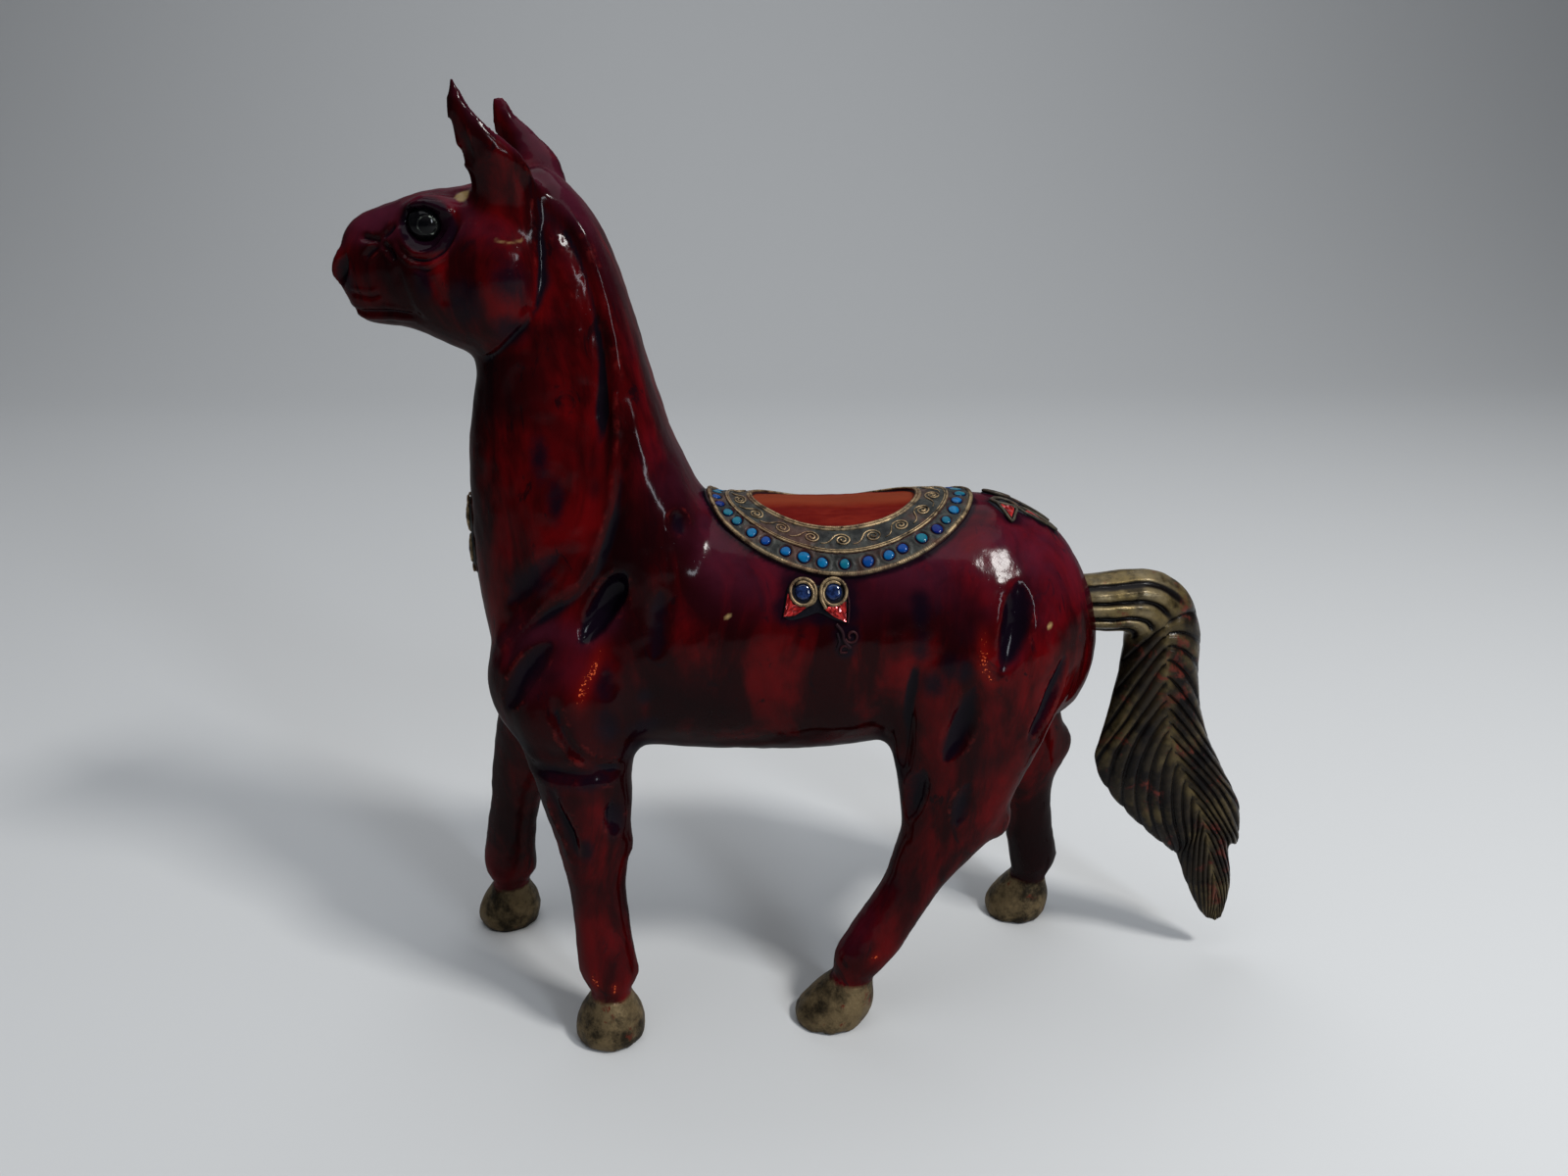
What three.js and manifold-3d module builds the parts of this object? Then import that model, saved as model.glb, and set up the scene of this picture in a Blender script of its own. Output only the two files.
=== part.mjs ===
// A standing horse carved in wood and lacquered, with gilt hooves, a carved gilt tail, bead eyes,
// a saddle cloth of moulded lacquer set with glass discs, and small wire and glass ornaments.
// Millimetres, +Z up. The horse faces -X and its left side faces -Y.
import * as THREE from "three";
import { mergeVertices } from "three/addons/utils/BufferGeometryUtils.js";
import Module from "manifold-3d";

const wasm = await Module();
wasm.setup();

// The figure's pose and carving are shares of its height: in the tables of the carving, a length of 1
// is a four-hundredth of the height from the soles to the ear tips.
const height = 400;
const unit = height / 400;

// Pieces that meet the carving are shaped on it, this far off its surface.
const fitGap = 0.3;

const eyeRadius = 7.2;

const clothFront = -33.7; // of the saddle cloth, along the back, just clear of the withers
const clothLength = 114;
const clothReach = 49; // from the ridge of the back down each flank, along the skin
const seatLength = 69.5; // of the bare seat inside the cloth's band
const seatReach = 26.5;
const seatAhead = 2.3; // of the cloth's middle, to the middle of the seat
const clothThickness = 1.8; // above the skin
const clothBedding = 2.5; // from the skin to the bottom of the blank the cloth is cut from
const rimRise = 0.9; // of the cloth's two rims above the cloth
const rimWidth = 2;
const wireRise = 0.8; // of the raised wire between the scrolls and the discs
const wireWidth = 1.5;
const discRow = 7.2; // width of the row of discs, from the outer rim to the wire

const discCount = 38;
const discRadius = 2.6;
const discHeight = 0.7; // of a disc's edge
const discRise = 0.5; // of its middle above the edge

const settingThickness = 1.6; // of the ornaments' settings above the skin
const settingBedding = 4; // from the skin to the bottom of the blank a setting is cut from
const settingEdge = 1.2; // of a setting round its glass
const glassHeight = 1.4;
const bowRing = 5.4; // radius of the coiled wire round each stone of a bow
const bowStone = 3.1; // radius of the stone
const bowLift = 4.2; // of the stones above a bow's middle
const bowAhead = 11.7; // of the cloth's middle, to a bow
const croupBehind = 12.2; // from the back end of the cloth to the leaves on the croup
const croupReach = 12.6; // from the ridge of the croup down to a leaf

// Turns a three.js geometry into a solid, with its faces pointing out.
function solidFrom(geometry) {
  const bare = geometry.index ? geometry.toNonIndexed() : geometry.clone();
  for (const name of Object.keys(bare.attributes)) {
    if (name !== "position") bare.deleteAttribute(name);
  }
  const merged = mergeVertices(bare, 1e-4);
  const vertProperties = merged.attributes.position.array;
  const triVerts = new Uint32Array(merged.index.array);
  const solid = new wasm.Manifold(new wasm.Mesh({ numProp: 3, vertProperties, triVerts }));
  if (solid.volume() > 0) return solid;
  for (let i = 0; i < triVerts.length; i += 3) {
    [triVerts[i], triVerts[i + 1]] = [triVerts[i + 1], triVerts[i]];
  }
  return new wasm.Manifold(new wasm.Mesh({ numProp: 3, vertProperties, triVerts }));
}

// Turns a solid back into a three.js geometry.
function geometryFrom(solid) {
  const { vertProperties, triVerts } = solid.getMesh();
  const geometry = new THREE.BufferGeometry();
  geometry.setAttribute("position", new THREE.BufferAttribute(new Float32Array(vertProperties), 3));
  geometry.setIndex(Array.from(triVerts));
  geometry.computeVertexNormals();
  return geometry;
}

const joined = (solids) => solids.reduce((whole, next) => whole.add(next));
const carved = (solid, cuts) => solid.subtract(joined(cuts));
const biggest = (solid) => solid.decompose().sort((a, b) => b.volume() - a.volume())[0];

// Closes rings of points, each with the same number, into one skin. The ends are fans over the
// first and last ring, unless the rings come round in a loop.
function skinOver(rings, loop = false) {
  const sides = rings[0].length;
  const points = rings.flat();
  const faces = [];
  for (let r = 0; r + (loop ? 0 : 1) < rings.length; r++) {
    const next = (r + 1) % rings.length;
    for (let s = 0; s < sides; s++) {
      const t = (s + 1) % sides;
      faces.push(r * sides + s, r * sides + t, next * sides + t);
      faces.push(r * sides + s, next * sides + t, next * sides + s);
    }
  }
  for (const end of loop ? [] : [0, rings.length - 1]) {
    const middle = rings[end].reduce((sum, p) => sum.clone().add(p)).divideScalar(sides);
    points.push(middle);
    for (let s = 0; s < sides; s++) {
      const pair = [end * sides + s, end * sides + ((s + 1) % sides)];
      if (end === 0) pair.reverse();
      faces.push(points.length - 1, ...pair);
    }
  }
  return new THREE.BufferGeometry().setFromPoints(points).setIndex(faces);
}

const smooth = (points) => new THREE.CatmullRomCurve3(points, false, "centripetal");

// A smooth form over oval sections stacked along x or z. A station is
// [place along the stack, middle of the section, half depth, half width, shift to the side].
function stack(along, stations, { rings, sides, grow = 0, fullness = 2 }) {
  const path = smooth(stations.map(([place, middle, , , side = 0]) => new THREE.Vector3(place, middle, side)));
  const girth = smooth(stations.map(([, , depth, width]) => new THREE.Vector3(depth, width, 0)));
  const round = (value) => Math.sign(value) * Math.abs(value) ** (2 / fullness);
  const skin = [];
  for (let r = 0; r <= rings; r++) {
    const centre = path.getPoint(r / rings).multiplyScalar(unit);
    const half = girth.getPoint(r / rings).multiplyScalar(unit);
    const ring = [];
    for (let s = 0; s < sides; s++) {
      const angle = (2 * Math.PI * s) / sides;
      const deep = centre.y + (half.x + grow) * round(Math.sin(angle));
      const wide = centre.z + (half.y + grow) * round(Math.cos(angle));
      ring.push(along === "x"
        ? new THREE.Vector3(centre.x, wide, deep)
        : new THREE.Vector3(deep, wide, centre.x));
    }
    skin.push(ring);
  }
  return solidFrom(skinOver(skin));
}

// An egg-shaped swelling or hollow, tipped in the side view and then turned about the vertical.
function egg([x, y, z], [halfLong, halfWide, halfTall], tip = 0, turn = 0, grow = 0) {
  const large = Math.min(halfLong, halfWide, halfTall) > 12;
  const ball = new THREE.SphereGeometry(1, large ? 14 : 8, large ? 8 : 6);
  ball.rotateX(Math.PI / 2);
  ball.scale(halfLong * unit + grow, halfWide * unit + grow, halfTall * unit + grow);
  ball.rotateY(THREE.MathUtils.degToRad(tip));
  ball.rotateZ(THREE.MathUtils.degToRad(turn));
  ball.translate(x * unit, y * unit, z * unit);
  return solidFrom(ball);
}

// The same egg on both flanks.
const eggs = ([x, y, z], halves, tip = 0, turn = 0, grow = 0) => [
  egg([x, -y, z], halves, tip, turn, grow),
  egg([x, y, z], halves, tip, -turn, grow),
];

// Trunk, neck and mane, which the fitted pieces lie on. "grow" thickens them by a clearance.
const trunkStations = [
  [-121, 168, 3, 3], [-118, 167, 14, 15], [-111, 166, 27, 27], [-96, 171, 41, 39],
  [-76, 178, 50, 44], [-52, 181.5, 55.5, 46], [-20, 181.5, 58, 47], [20, 181, 57.5, 48],
  [58, 184.5, 55, 48.5], [88, 185, 54, 48], [108, 181, 50, 43], [124, 177, 41, 34],
  [132, 174, 29, 23], [137.5, 172, 15, 12], [139, 172, 3, 3],
];
const neckStations = [
  [150, -88, 34, 30], [186, -88, 42, 36], [210, -85.5, 47, 37], [235, -85, 47, 35],
  [257, -88, 44, 32], [280, -89, 38.5, 29.5], [306, -90.5, 31.5, 27], [332, -94, 29, 25],
  [352, -98, 25, 21], [364, -100, 17, 14], [370, -100, 7, 6],
];
const maneStations = [
  [148, -56, 16, 26], [172, -55, 27, 38], [198, -56, 31, 43.5], [220, -55, 27, 42], [238, -55.5, 22.5, 39],
  [263, -61.5, 16, 34], [289, -66, 12.5, 30.5], [315, -71, 11, 27.5], [337, -77, 10.5, 24],
  [352, -83, 10, 20.5], [362, -88.5, 8.5, 15], [369, -93, 5.5, 8], [371.5, -94.5, 2, 3],
];
const trunk = (grow) => stack("x", trunkStations, { rings: 20, sides: 20, grow });
const neck = (grow) => stack("z", neckStations, { rings: 9, sides: 16, grow });
const mane = (grow) => stack("z", maneStations, { rings: 12, sides: 14, fullness: 2.5, grow });

// Swellings of the chest and the elbow, in pairs.
const muscles = (grow) => [
  ...eggs([-95, 21, 169], [33, 25, 37.5], 14, 0, grow),
  ...eggs([-79, 22.5, 162], [27, 28, 32], -6, 0, grow),
];
const carcass = (grow = 0) => joined([trunk(grow), neck(grow), mane(grow), ...muscles(grow)]);

// The head runs forward from the poll to the muzzle, with round cheeks and full nostrils.
const headStations = [
  [-88, 350, 5, 6], [-91, 348, 14, 15], [-98, 343, 24, 22], [-107, 337.5, 31, 26.5],
  [-117, 332.5, 32.5, 28], [-128, 332.5, 31.5, 28], [-138, 334.1, 28.1, 25], [-148, 334.9, 24.4, 21],
  [-157, 333.9, 22.4, 18], [-164, 333, 20.4, 16], [-168.5, 333, 17, 12.5], [-171.3, 334.5, 10, 7],
];
const muzzle = () => [
  ...eggs([-110.5, 15, 330], [20, 15.5, 28], 10),
  ...eggs([-130, 17, 356.6], [14, 7, 5], 4, -8),
  ...eggs([-167, 7.5, 334.5], [7, 6.5, 9], 24),
];
const features = () => [
  ...eggs([-134, 28, 349.5], [12, 9, 10], 12, -8),
  ...eggs([-171, 13, 330.5], [4, 3.5, 4], 25, -20),
  egg([-163, 0, 318.8], [20, 19, 1.6], -3),
];

// Each ear leans forward and is hollowed in front. "setBack" moves one ear towards the mane,
// and "lost" is the length broken off its tip.
const earStations = [
  [342, -106, 4, 3, 11], [354, -104, 13, 7, 15], [365, -104, 14, 7.2, 18.5], [373, -107, 12.5, 6.7, 21.5],
  [380, -111, 10, 5.4, 24.2], [388, -116.5, 6, 3.8, 25.2], [395, -118.8, 3, 2.4, 25.8], [400, -119, 0.8, 0.8, 26],
];
function ear(flank, setBack, lost) {
  const places = earStations.map(([z, x, depth, width, y]) => [z, x + setBack, depth, width, flank * y]);
  const whole = stack("z", places, { rings: 8, sides: 10 });
  const hollow = egg([-119 + setBack, flank * 20, 379], [6, 3.6, 12], -22, flank * -30);
  const tip = egg([-119 + setBack, flank * 26, 407 - lost], [8, 8, 7]);
  return carved(whole, lost ? [hollow, tip] : [hollow]);
}

// Legs are girths along a middle line. A girth is [height above the floor, half depth, half width,
// shift of the section towards the tail, share of the way in from the foot's stance to the body's].
const kneeLift = 95; // of knees and hocks above the floor
const fetlockLift = 32;
const rootSpread = 22; // from the middle plane to where a leg's middle line runs out in the trunk
function limb(girths, middle, { flank, footSpread }) {
  const places = girths.map(([z, depth, width, back, inward]) => {
    const slope = middle(z + 1) - middle(z);
    const side = flank * THREE.MathUtils.lerp(footSpread, rootSpread, inward);
    return [z, middle(z) + back, depth * Math.hypot(1, slope), width, side];
  });
  return stack("z", places, { rings: 21, sides: 10 });
}
const hoofGirths = [
  [0, 14.8, 14.2, -0.5, 0], [3, 16, 15.4, -0.8, 0], [9, 16.2, 15.4, -0.8, 0], [15, 13.6, 13.4, -0.3, 0],
  [21, 10.2, 10.6, 0, 0.02], [24, 8.4, 9.2, 0.5, 0.03],
];
const foreGirths = [
  ...hoofGirths, [27, 11, 10.6, 0.3, 0.05], [33, 13.6, 12.4, 0, 0.08], [42, 13.4, 12.2, -0.6, 0.12],
  [60, 12.6, 11.4, -1, 0.2], [76, 12.8, 11.8, -1, 0.26], [88, 15, 13.2, -0.5, 0.32], [99, 17, 14.8, 0, 0.36],
  [110, 19, 16.6, 0, 0.4], [122, 21.5, 18.5, 0, 0.45], [136, 22.5, 19.5, 0, 0.52], [152, 27, 21, 0, 0.62],
  [172, 30, 21, 0, 0.78], [192, 24, 17, 0, 0.9], [206, 10, 8, 0, 1],
];
const hindGirths = [
  ...hoofGirths, [27, 10.8, 10.5, 0.5, 0.03], [34, 12.8, 12, 0.5, 0.05], [46, 12.6, 11.6, 0, 0.08],
  [60, 12.2, 11.4, 0, 0.12], [74, 13, 12, 0, 0.16], [86, 16.5, 13.6, 0, 0.2], [98, 22, 16, 0, 0.24],
  [112, 25.5, 18.5, 0, 0.28], [130, 31.5, 20.5, 0, 0.34], [150, 38, 23.5, 0, 0.45], [172, 42, 26, 1, 0.6],
  [194, 37, 26, 2, 0.78], [212, 26, 20, 2, 0.9], [224, 10, 9, 2, 1],
];
const foreMiddle = ({ hoofX, elbowX }) => (z) => hoofX + (elbowX - hoofX) * Math.min(z / 145, 1.1) ** 2;
const hindMiddle = ({ hoofX, fetlockX, hockX, thighX }) => (z) => {
  const top = 160;
  if (z < fetlockLift) return THREE.MathUtils.lerp(hoofX, fetlockX, z / fetlockLift);
  if (z > kneeLift) return THREE.MathUtils.lerp(hockX, thighX, Math.min((z - kneeLift) / (top - kneeLift), 1));
  return THREE.MathUtils.lerp(fetlockX, hockX, (z - fetlockLift) / (kneeLift - fetlockLift));
};
const foreStances = [
  { flank: -1, footSpread: 45, hoofX: -80, elbowX: -90 },
  { flank: 1, footSpread: 45, hoofX: -140, elbowX: -104 },
];
const hindStances = [
  { flank: -1, footSpread: 39, hoofX: 19, fetlockX: 33, hockX: 71, thighX: 80 },
  { flank: 1, footSpread: 38, hoofX: 124, fetlockX: 131, hockX: 121, thighX: 84 },
];
const legs = () => [
  ...foreStances.map((stance) => limb(foreGirths, foreMiddle(stance), stance)),
  ...hindStances.map((stance) => limb(hindGirths, hindMiddle(stance), stance)),
];

// Knobs behind the knees, at the points of the hocks and behind the fetlocks.
const knobs = () => [
  ...foreStances.flatMap((stance) => [
    egg([foreMiddle(stance)(96) + 11, stance.flank * 39, 96], [7.5, 8, 9]),
    egg([foreMiddle(stance)(32) + 7, stance.flank * (stance.footSpread - 1), 33], [7.5, 8, 7]),
  ]),
  ...hindStances.flatMap((stance) => [
    egg([hindMiddle(stance)(100) + 19, stance.flank * 35, 101], [9.5, 9, 11], 12),
    egg([hindMiddle(stance)(34) + 6, stance.flank * (stance.footSpread - 1), 35], [7.5, 8, 7]),
  ]),
];

// A frame on a skin: "out" is the outward normal, "up" lies in the skin and rises with Z, and "side" is
// across both. "lean" tips "up" towards the tail, in degrees.
function frameAt(at, out, lean = 0) {
  const angle = THREE.MathUtils.degToRad(lean);
  const up = new THREE.Vector3(Math.sin(angle), 0, Math.cos(angle));
  up.addScaledVector(out, -up.dot(out)).normalize();
  return { at, side: up.clone().cross(out), out, up };
}

// Finds the skin of a solid where a line from one side meets it.
function skinFinder(solid) {
  const mesh = new THREE.Mesh(geometryFrom(solid), new THREE.MeshBasicMaterial({ side: THREE.DoubleSide }));
  return (toward, x, y, z, lean = 0) => {
    const from = new THREE.Vector3(x, y, z).multiplyScalar(unit).addScaledVector(toward, -height);
    const [hit] = new THREE.Raycaster(from, toward).intersectObject(mesh);
    const out = hit.face.normal.clone();
    if (out.dot(toward) > 0) out.negate();
    return frameAt(hit.point, out, lean);
  };
}
const inFrom = (flank) => new THREE.Vector3(0, -flank, 0);
const placed = ({ at, side, out, up }) => new THREE.Matrix4().makeBasis(side, out, up).setPosition(at);

// A hollow of the gouge in the skin of one flank: long and tipped in the side view, "deep" below the skin.
function gouge(skin, flank, [x, z], [wide, deep, long], tip = 0) {
  const ball = new THREE.SphereGeometry(1, 8, 6);
  ball.rotateX(Math.PI / 2);
  ball.scale(wide * unit, deep * unit, long * unit);
  ball.applyMatrix4(placed(skin(inFrom(flank), x, 0, z, tip)));
  return solidFrom(ball);
}

// A groove cut in the skin of one flank along a smooth line through [x, z] places.
function groove(skin, flank, places, radius, steps) {
  const line = smooth(places.map(([x, z]) => skin(inFrom(flank), x, 0, z).at));
  const tool = new THREE.Shape();
  tool.absarc(0, 0, radius * unit, 0, 2 * Math.PI, false);
  return solidFrom(new THREE.ExtrudeGeometry(tool, { steps, extrudePath: line, curveSegments: 3 }));
}

// The marks of the gouge: [x, z], [half width, depth, half length], tip. Those of the legs are placed
// from a leg's middle line.
const bodyHollows = [
  [[-74, 204], [6, 4, 16], 33], [[-106, 174], [5.5, 4, 17], 34], [[-99, 142], [9, 6, 7], 0],
  [[91, 195], [6.5, 4, 20], 9], [[107, 164], [5, 4, 18], 25], [[71, 156], [6, 4, 17], 20],
];
const foreHollows = [[[12, 117], [6, 4.5, 9], 15], [[-7, 111], [2.6, 3, 15], -27]];
const hindHollows = [[[-17, 118], [5.5, 3.5, 13], 20], [[2, 116], [3.5, 3, 10], 10]];
const maneLine = [
  [-91, 352], [-87, 338], [-83.5, 315], [-82, 289], [-81, 263], [-80.5, 246], [-83, 229], [-92, 215],
  [-104, 205], [-115, 194], [-122, 182],
];
const jawLine = [[-95, 362], [-93, 348], [-96, 331], [-105, 312], [-116, 301]];
function marks(skin, flank) {
  const side = flank < 0 ? 0 : 1;
  const onLeg = (middle) => ([[x, z], size, tip]) => gouge(skin, flank, [middle(z) + x, z], size, tip);
  return [
    ...bodyHollows.map(([place, size, tip]) => gouge(skin, flank, place, size, tip)),
    ...foreHollows.map(onLeg(foreMiddle(foreStances[side]))),
    ...hindHollows.map(onLeg(hindMiddle(hindStances[side]))),
    groove(skin, flank, maneLine, 2.4, 16),
    groove(skin, flank, jawLine, 2, 7),
  ];
}

const eyes = (grow = 0) => eggs([-134.5, 16, 350.5], [eyeRadius, eyeRadius, eyeRadius], 0, 0, grow);

function horse() {
  const mass = joined([
    carcass(), stack("x", headStations, { rings: 14, sides: 16, fullness: 2.3 }), ...muzzle(), ...legs(), ...knobs(),
  ]);
  const skin = skinFinder(mass);
  const carving = carved(mass, [...marks(skin, -1), ...marks(skin, 1), ...features(), ...eyes(fitGap)]);
  return biggest(joined([carving, ear(-1, 0, 0), ear(1, 7, 5)]));
}

// The tail is carved with slanting locks on both sides of a rib. A row is
// [x, z of its front edge, x, z of the rib, x, z of its back edge, half thickness].
const tailRows = [
  [126, 176, 124, 188, 122, 200, 12], [142, 174.7, 139.5, 188, 138, 201.2, 13],
  [152.7, 173.9, 158, 188, 163, 202.7, 12.5], [153.5, 169, 166.7, 181.4, 180, 192.4, 11.5],
  [152.8, 155.5, 169.3, 173.5, 188.2, 173.1, 10.5], [150.8, 140.6, 170.8, 162.5, 189.5, 157.2, 10],
  [147.8, 122.9, 172.7, 147.6, 192.6, 137.1, 9.5], [145.6, 108.7, 175.1, 135, 199, 118.9, 9],
  [152.4, 93.9, 177.9, 122.1, 209.1, 100.3, 8.5], [162.6, 81.5, 184.3, 107.6, 218, 83.9, 8],
  [175.4, 68.8, 192, 92.7, 220.4, 68.7, 7.5], [187.5, 58.7, 198.5, 79, 220.4, 61.1, 7],
  [190.9, 55.8, 202.3, 67.9, 216.4, 59.1, 6.5], [196.9, 41.5, 207.7, 49.6, 219.6, 41.4, 5.5],
  [205.1, 25.3, 212.4, 32.3, 219.3, 27.7, 4], [210.4, 18.6, 214.2, 18, 217.9, 19, 1.8],
];
const tailLocks = 19;
const lockDepth = 1.5;
const smoothLocks = 3; // of the locks, inside the rump and on the plain top of the tail
function tail() {
  const line = (column) => smooth(tailRows.map((row) => new THREE.Vector3(row[column], 0, row[column + 1])));
  const [front, rib, back] = [0, 2, 4].map(line);
  const thick = smooth(tailRows.map((row, i) => new THREE.Vector3(i, 0, row[6])));
  const rings = [];
  for (let r = 0; r <= 2 * tailLocks; r++) {
    const t = r / (2 * tailLocks);
    const sunk = r % 2 && r > 2 * smoothLocks ? lockDepth : 0;
    const half = (thick.getPoint(t).z - sunk) * unit;
    const [a, b, c] = [front, rib, back].map((curve) => curve.getPoint(t).multiplyScalar(unit));
    const across = (from, to, share, rise) => from.clone().lerp(to, share).setY(half * rise);
    const trim = sunk * 0.05;
    rings.push([
      across(a, b, trim, 0), across(a, b, 0.28, 0.72), across(a, b, 0.72, 0.98), across(b, c, 0.28, 0.98),
      across(b, c, 0.72, 0.72), across(b, c, 1 - trim, 0),
      across(b, c, 0.72, -0.72), across(b, c, 0.28, -0.98), across(a, b, 0.72, -0.98), across(a, b, 0.28, -0.72),
    ]);
  }
  return biggest(solidFrom(skinOver(rings)).subtract(carcass(fitGap)));
}

// The point of the trunk's skin at a distance round from the ridge of the back, raised off the skin.
const trunkMiddle = smooth(trunkStations.map(([x, z]) => new THREE.Vector3(x, z, 0)));
const trunkGirth = smooth(trunkStations.map(([, , tall, wide]) => new THREE.Vector3(tall, wide, 0)));
const clothMiddle = clothFront * unit + clothLength / 2;
function onSkin(x, reach, rise) {
  let [low, high] = [0, 1];
  for (let step = 0; step < 24; step++) {
    const t = (low + high) / 2;
    if (trunkMiddle.getPoint(t).x * unit < x) low = t;
    else high = t;
  }
  const middle = trunkMiddle.getPoint(low).multiplyScalar(unit);
  const half = trunkGirth.getPoint(low).multiplyScalar(unit);
  const angle = (2 * reach) / (half.x + half.y);
  const out = new THREE.Vector3(0, Math.sin(angle) / half.y, Math.cos(angle) / half.x).normalize();
  const skin = new THREE.Vector3(x, half.y * Math.sin(angle), middle.y + half.x * Math.cos(angle));
  return frameAt(skin.addScaledVector(out, rise), out);
}

// A place on the saddle cloth: "turn" goes once round it, "share" runs from the seat to the rim.
function onCloth(turn, share, rise) {
  const along = THREE.MathUtils.lerp(seatLength, clothLength, share) / 2;
  const down = THREE.MathUtils.lerp(seatReach, clothReach, share);
  const angle = 2 * Math.PI * turn;
  const middle = clothMiddle - seatAhead * (1 - share);
  return onSkin(middle + along * Math.cos(angle), down * Math.sin(angle), rise);
}

const bandWidth = (clothLength - seatLength) / 2;
const rimShare = rimWidth / bandWidth;
const wireShare = 1 - (rimWidth + discRow + wireWidth) / bandWidth;
const discShare = 1 - (rimWidth + discRow / 2) / bandWidth;
function bandProfile() {
  const rim = clothThickness + rimRise;
  const wire = clothThickness + wireRise;
  const bevel = rimShare * 0.25;
  const crest = wireShare + wireWidth / bandWidth / 2;
  return [
    [0, -clothBedding], [0, clothThickness], [bevel, rim], [rimShare - bevel, rim], [rimShare, clothThickness],
    [wireShare, clothThickness], [crest, wire], [2 * crest - wireShare, clothThickness],
    [1 - rimShare, clothThickness], [1 - rimShare + bevel, rim], [1 - bevel, rim], [1, clothThickness],
    [1, -clothBedding],
  ];
}

// A low glass disc set on the cloth.
function disc(turn) {
  const { at, out } = onCloth(turn, discShare, clothThickness + fitGap);
  const outline = [[0, 0], [discRadius, 0], [discRadius, discHeight], [0, discHeight + discRise]];
  const stone = new THREE.LatheGeometry(outline.map(([r, y]) => new THREE.Vector2(r, y)), 8);
  stone.applyQuaternion(new THREE.Quaternion().setFromUnitVectors(new THREE.Vector3(0, 1, 0), out));
  stone.translate(at.x, at.y, at.z);
  return solidFrom(stone);
}
const discTurns = Array.from({ length: discCount }, (_, i) => (i + 0.5) / discCount);

function saddleCloth() {
  const steps = 38;
  const rings = Array.from({ length: steps }, (_, i) =>
    bandProfile().map(([share, rise]) => onCloth(i / steps, share, rise).at));
  const blank = solidFrom(skinOver(rings, true));
  return biggest(blank.subtract(carcass(fitGap)));
}

// A slab of an outline drawn in a skin frame, x to the side and y up, between two heights off the skin.
function slab(frame, outline, low, high) {
  const shape = new THREE.Shape(outline.map(([x, y]) => new THREE.Vector2(x, y)));
  const sheet = new THREE.ExtrudeGeometry(shape, { depth: high - low, bevelEnabled: false });
  sheet.rotateX(Math.PI / 2);
  sheet.scale(1, -1, 1);
  sheet.translate(0, low, 0);
  sheet.applyMatrix4(placed(frame));
  return solidFrom(sheet);
}
const round = ([x, y], radius, sides, start = 0) => Array.from({ length: sides }, (_, i) => {
  const angle = start + (2 * Math.PI * i) / sides;
  return [x + radius * Math.cos(angle), y + radius * Math.sin(angle)];
});

// An outline moved out from its middle by an edge, for the setting round a glass.
function edged(outline, edge) {
  const middle = [0, 1].map((k) => outline.reduce((sum, p) => sum + p[k], 0) / outline.length);
  return outline.map((p) => {
    const away = new THREE.Vector2(p[0] - middle[0], p[1] - middle[1]);
    away.setLength(away.length() + edge);
    return [middle[0] + away.x, middle[1] + away.y];
  });
}

// An ornament is glasses on one thin setting that is shaped to the carving under it.
function ornament(frame, glasses, plates) {
  const blank = joined(plates.map((plate) => slab(frame, plate, -settingBedding, settingThickness)));
  const low = settingThickness + fitGap;
  return {
    setting: biggest(blank.subtract(carcass(fitGap))),
    glasses: glasses.map((outline) => slab(frame, outline, low, low + glassHeight)),
  };
}

// A bow of two ringed stones, with a three-cornered red glass under each.
const bowPlace = clothMiddle - bowAhead;
const bowReach = clothReach + bowLift + bowRing + fitGap;
const croupPlace = clothFront * unit + clothLength + croupBehind;
const wing = (way) => [[way * 2, -1.4], [way * 11.8, 1.4], [way * 11.2, -7.2]];
function bow(frame) {
  const stones = [-1, 1].map((way) => round([way * 6.1, bowLift], bowStone, 8));
  const rings = [-1, 1].map((way) => round([way * 6.1, bowLift], bowRing, 10));
  const wings = [wing(-1), wing(1).reverse()];
  const knot = [[-3, -1], [3, -1], [2, 5], [-2, 5]];
  return ornament(frame, [...stones, ...wings], [...rings, knot, ...wings.map((w) => edged(w, 2 * settingEdge))]);
}

// On the croup a red leaf lies either side of the ridge, each with a bare leaf that points to the tail.
const leaf = [[-4, 1.6], [1.4, -7.6], [4.6, 1.4]];
const backLeaf = [[3, 1.5], [10, 1], [22, 3.5], [24, 6], [13, 7.6], [4, 7]];
function leafOrnament(frame, flank) {
  const turned = (outline) => (flank < 0 ? outline : outline.map(([x, y]) => [-x, y]).reverse());
  return ornament(frame, [turned(leaf)], [turned(edged(leaf, 2 * settingEdge)), round([0, 4], 4.6, 8), turned(backLeaf)]);
}

// On the chest two dark stones stand upright.
const diamond = (y) => round([0, y], 4.2, 4, 0);
const chestOrnament = (frame) => ornament(frame, [diamond(8), diamond(-6)],
  [[[-4, -17], [4, -17], [6.5, -6], [5, 1], [7, 8], [3, 17], [-3, 17], [-7, 8], [-5, 1], [-6.5, -6]]]);

function named(name, solid, color, roughness, metalness = 0) {
  const material = new THREE.MeshStandardMaterial({ color, roughness, metalness });
  const mesh = new THREE.Mesh(geometryFrom(solid), material);
  mesh.name = name;
  return mesh;
}

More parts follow.
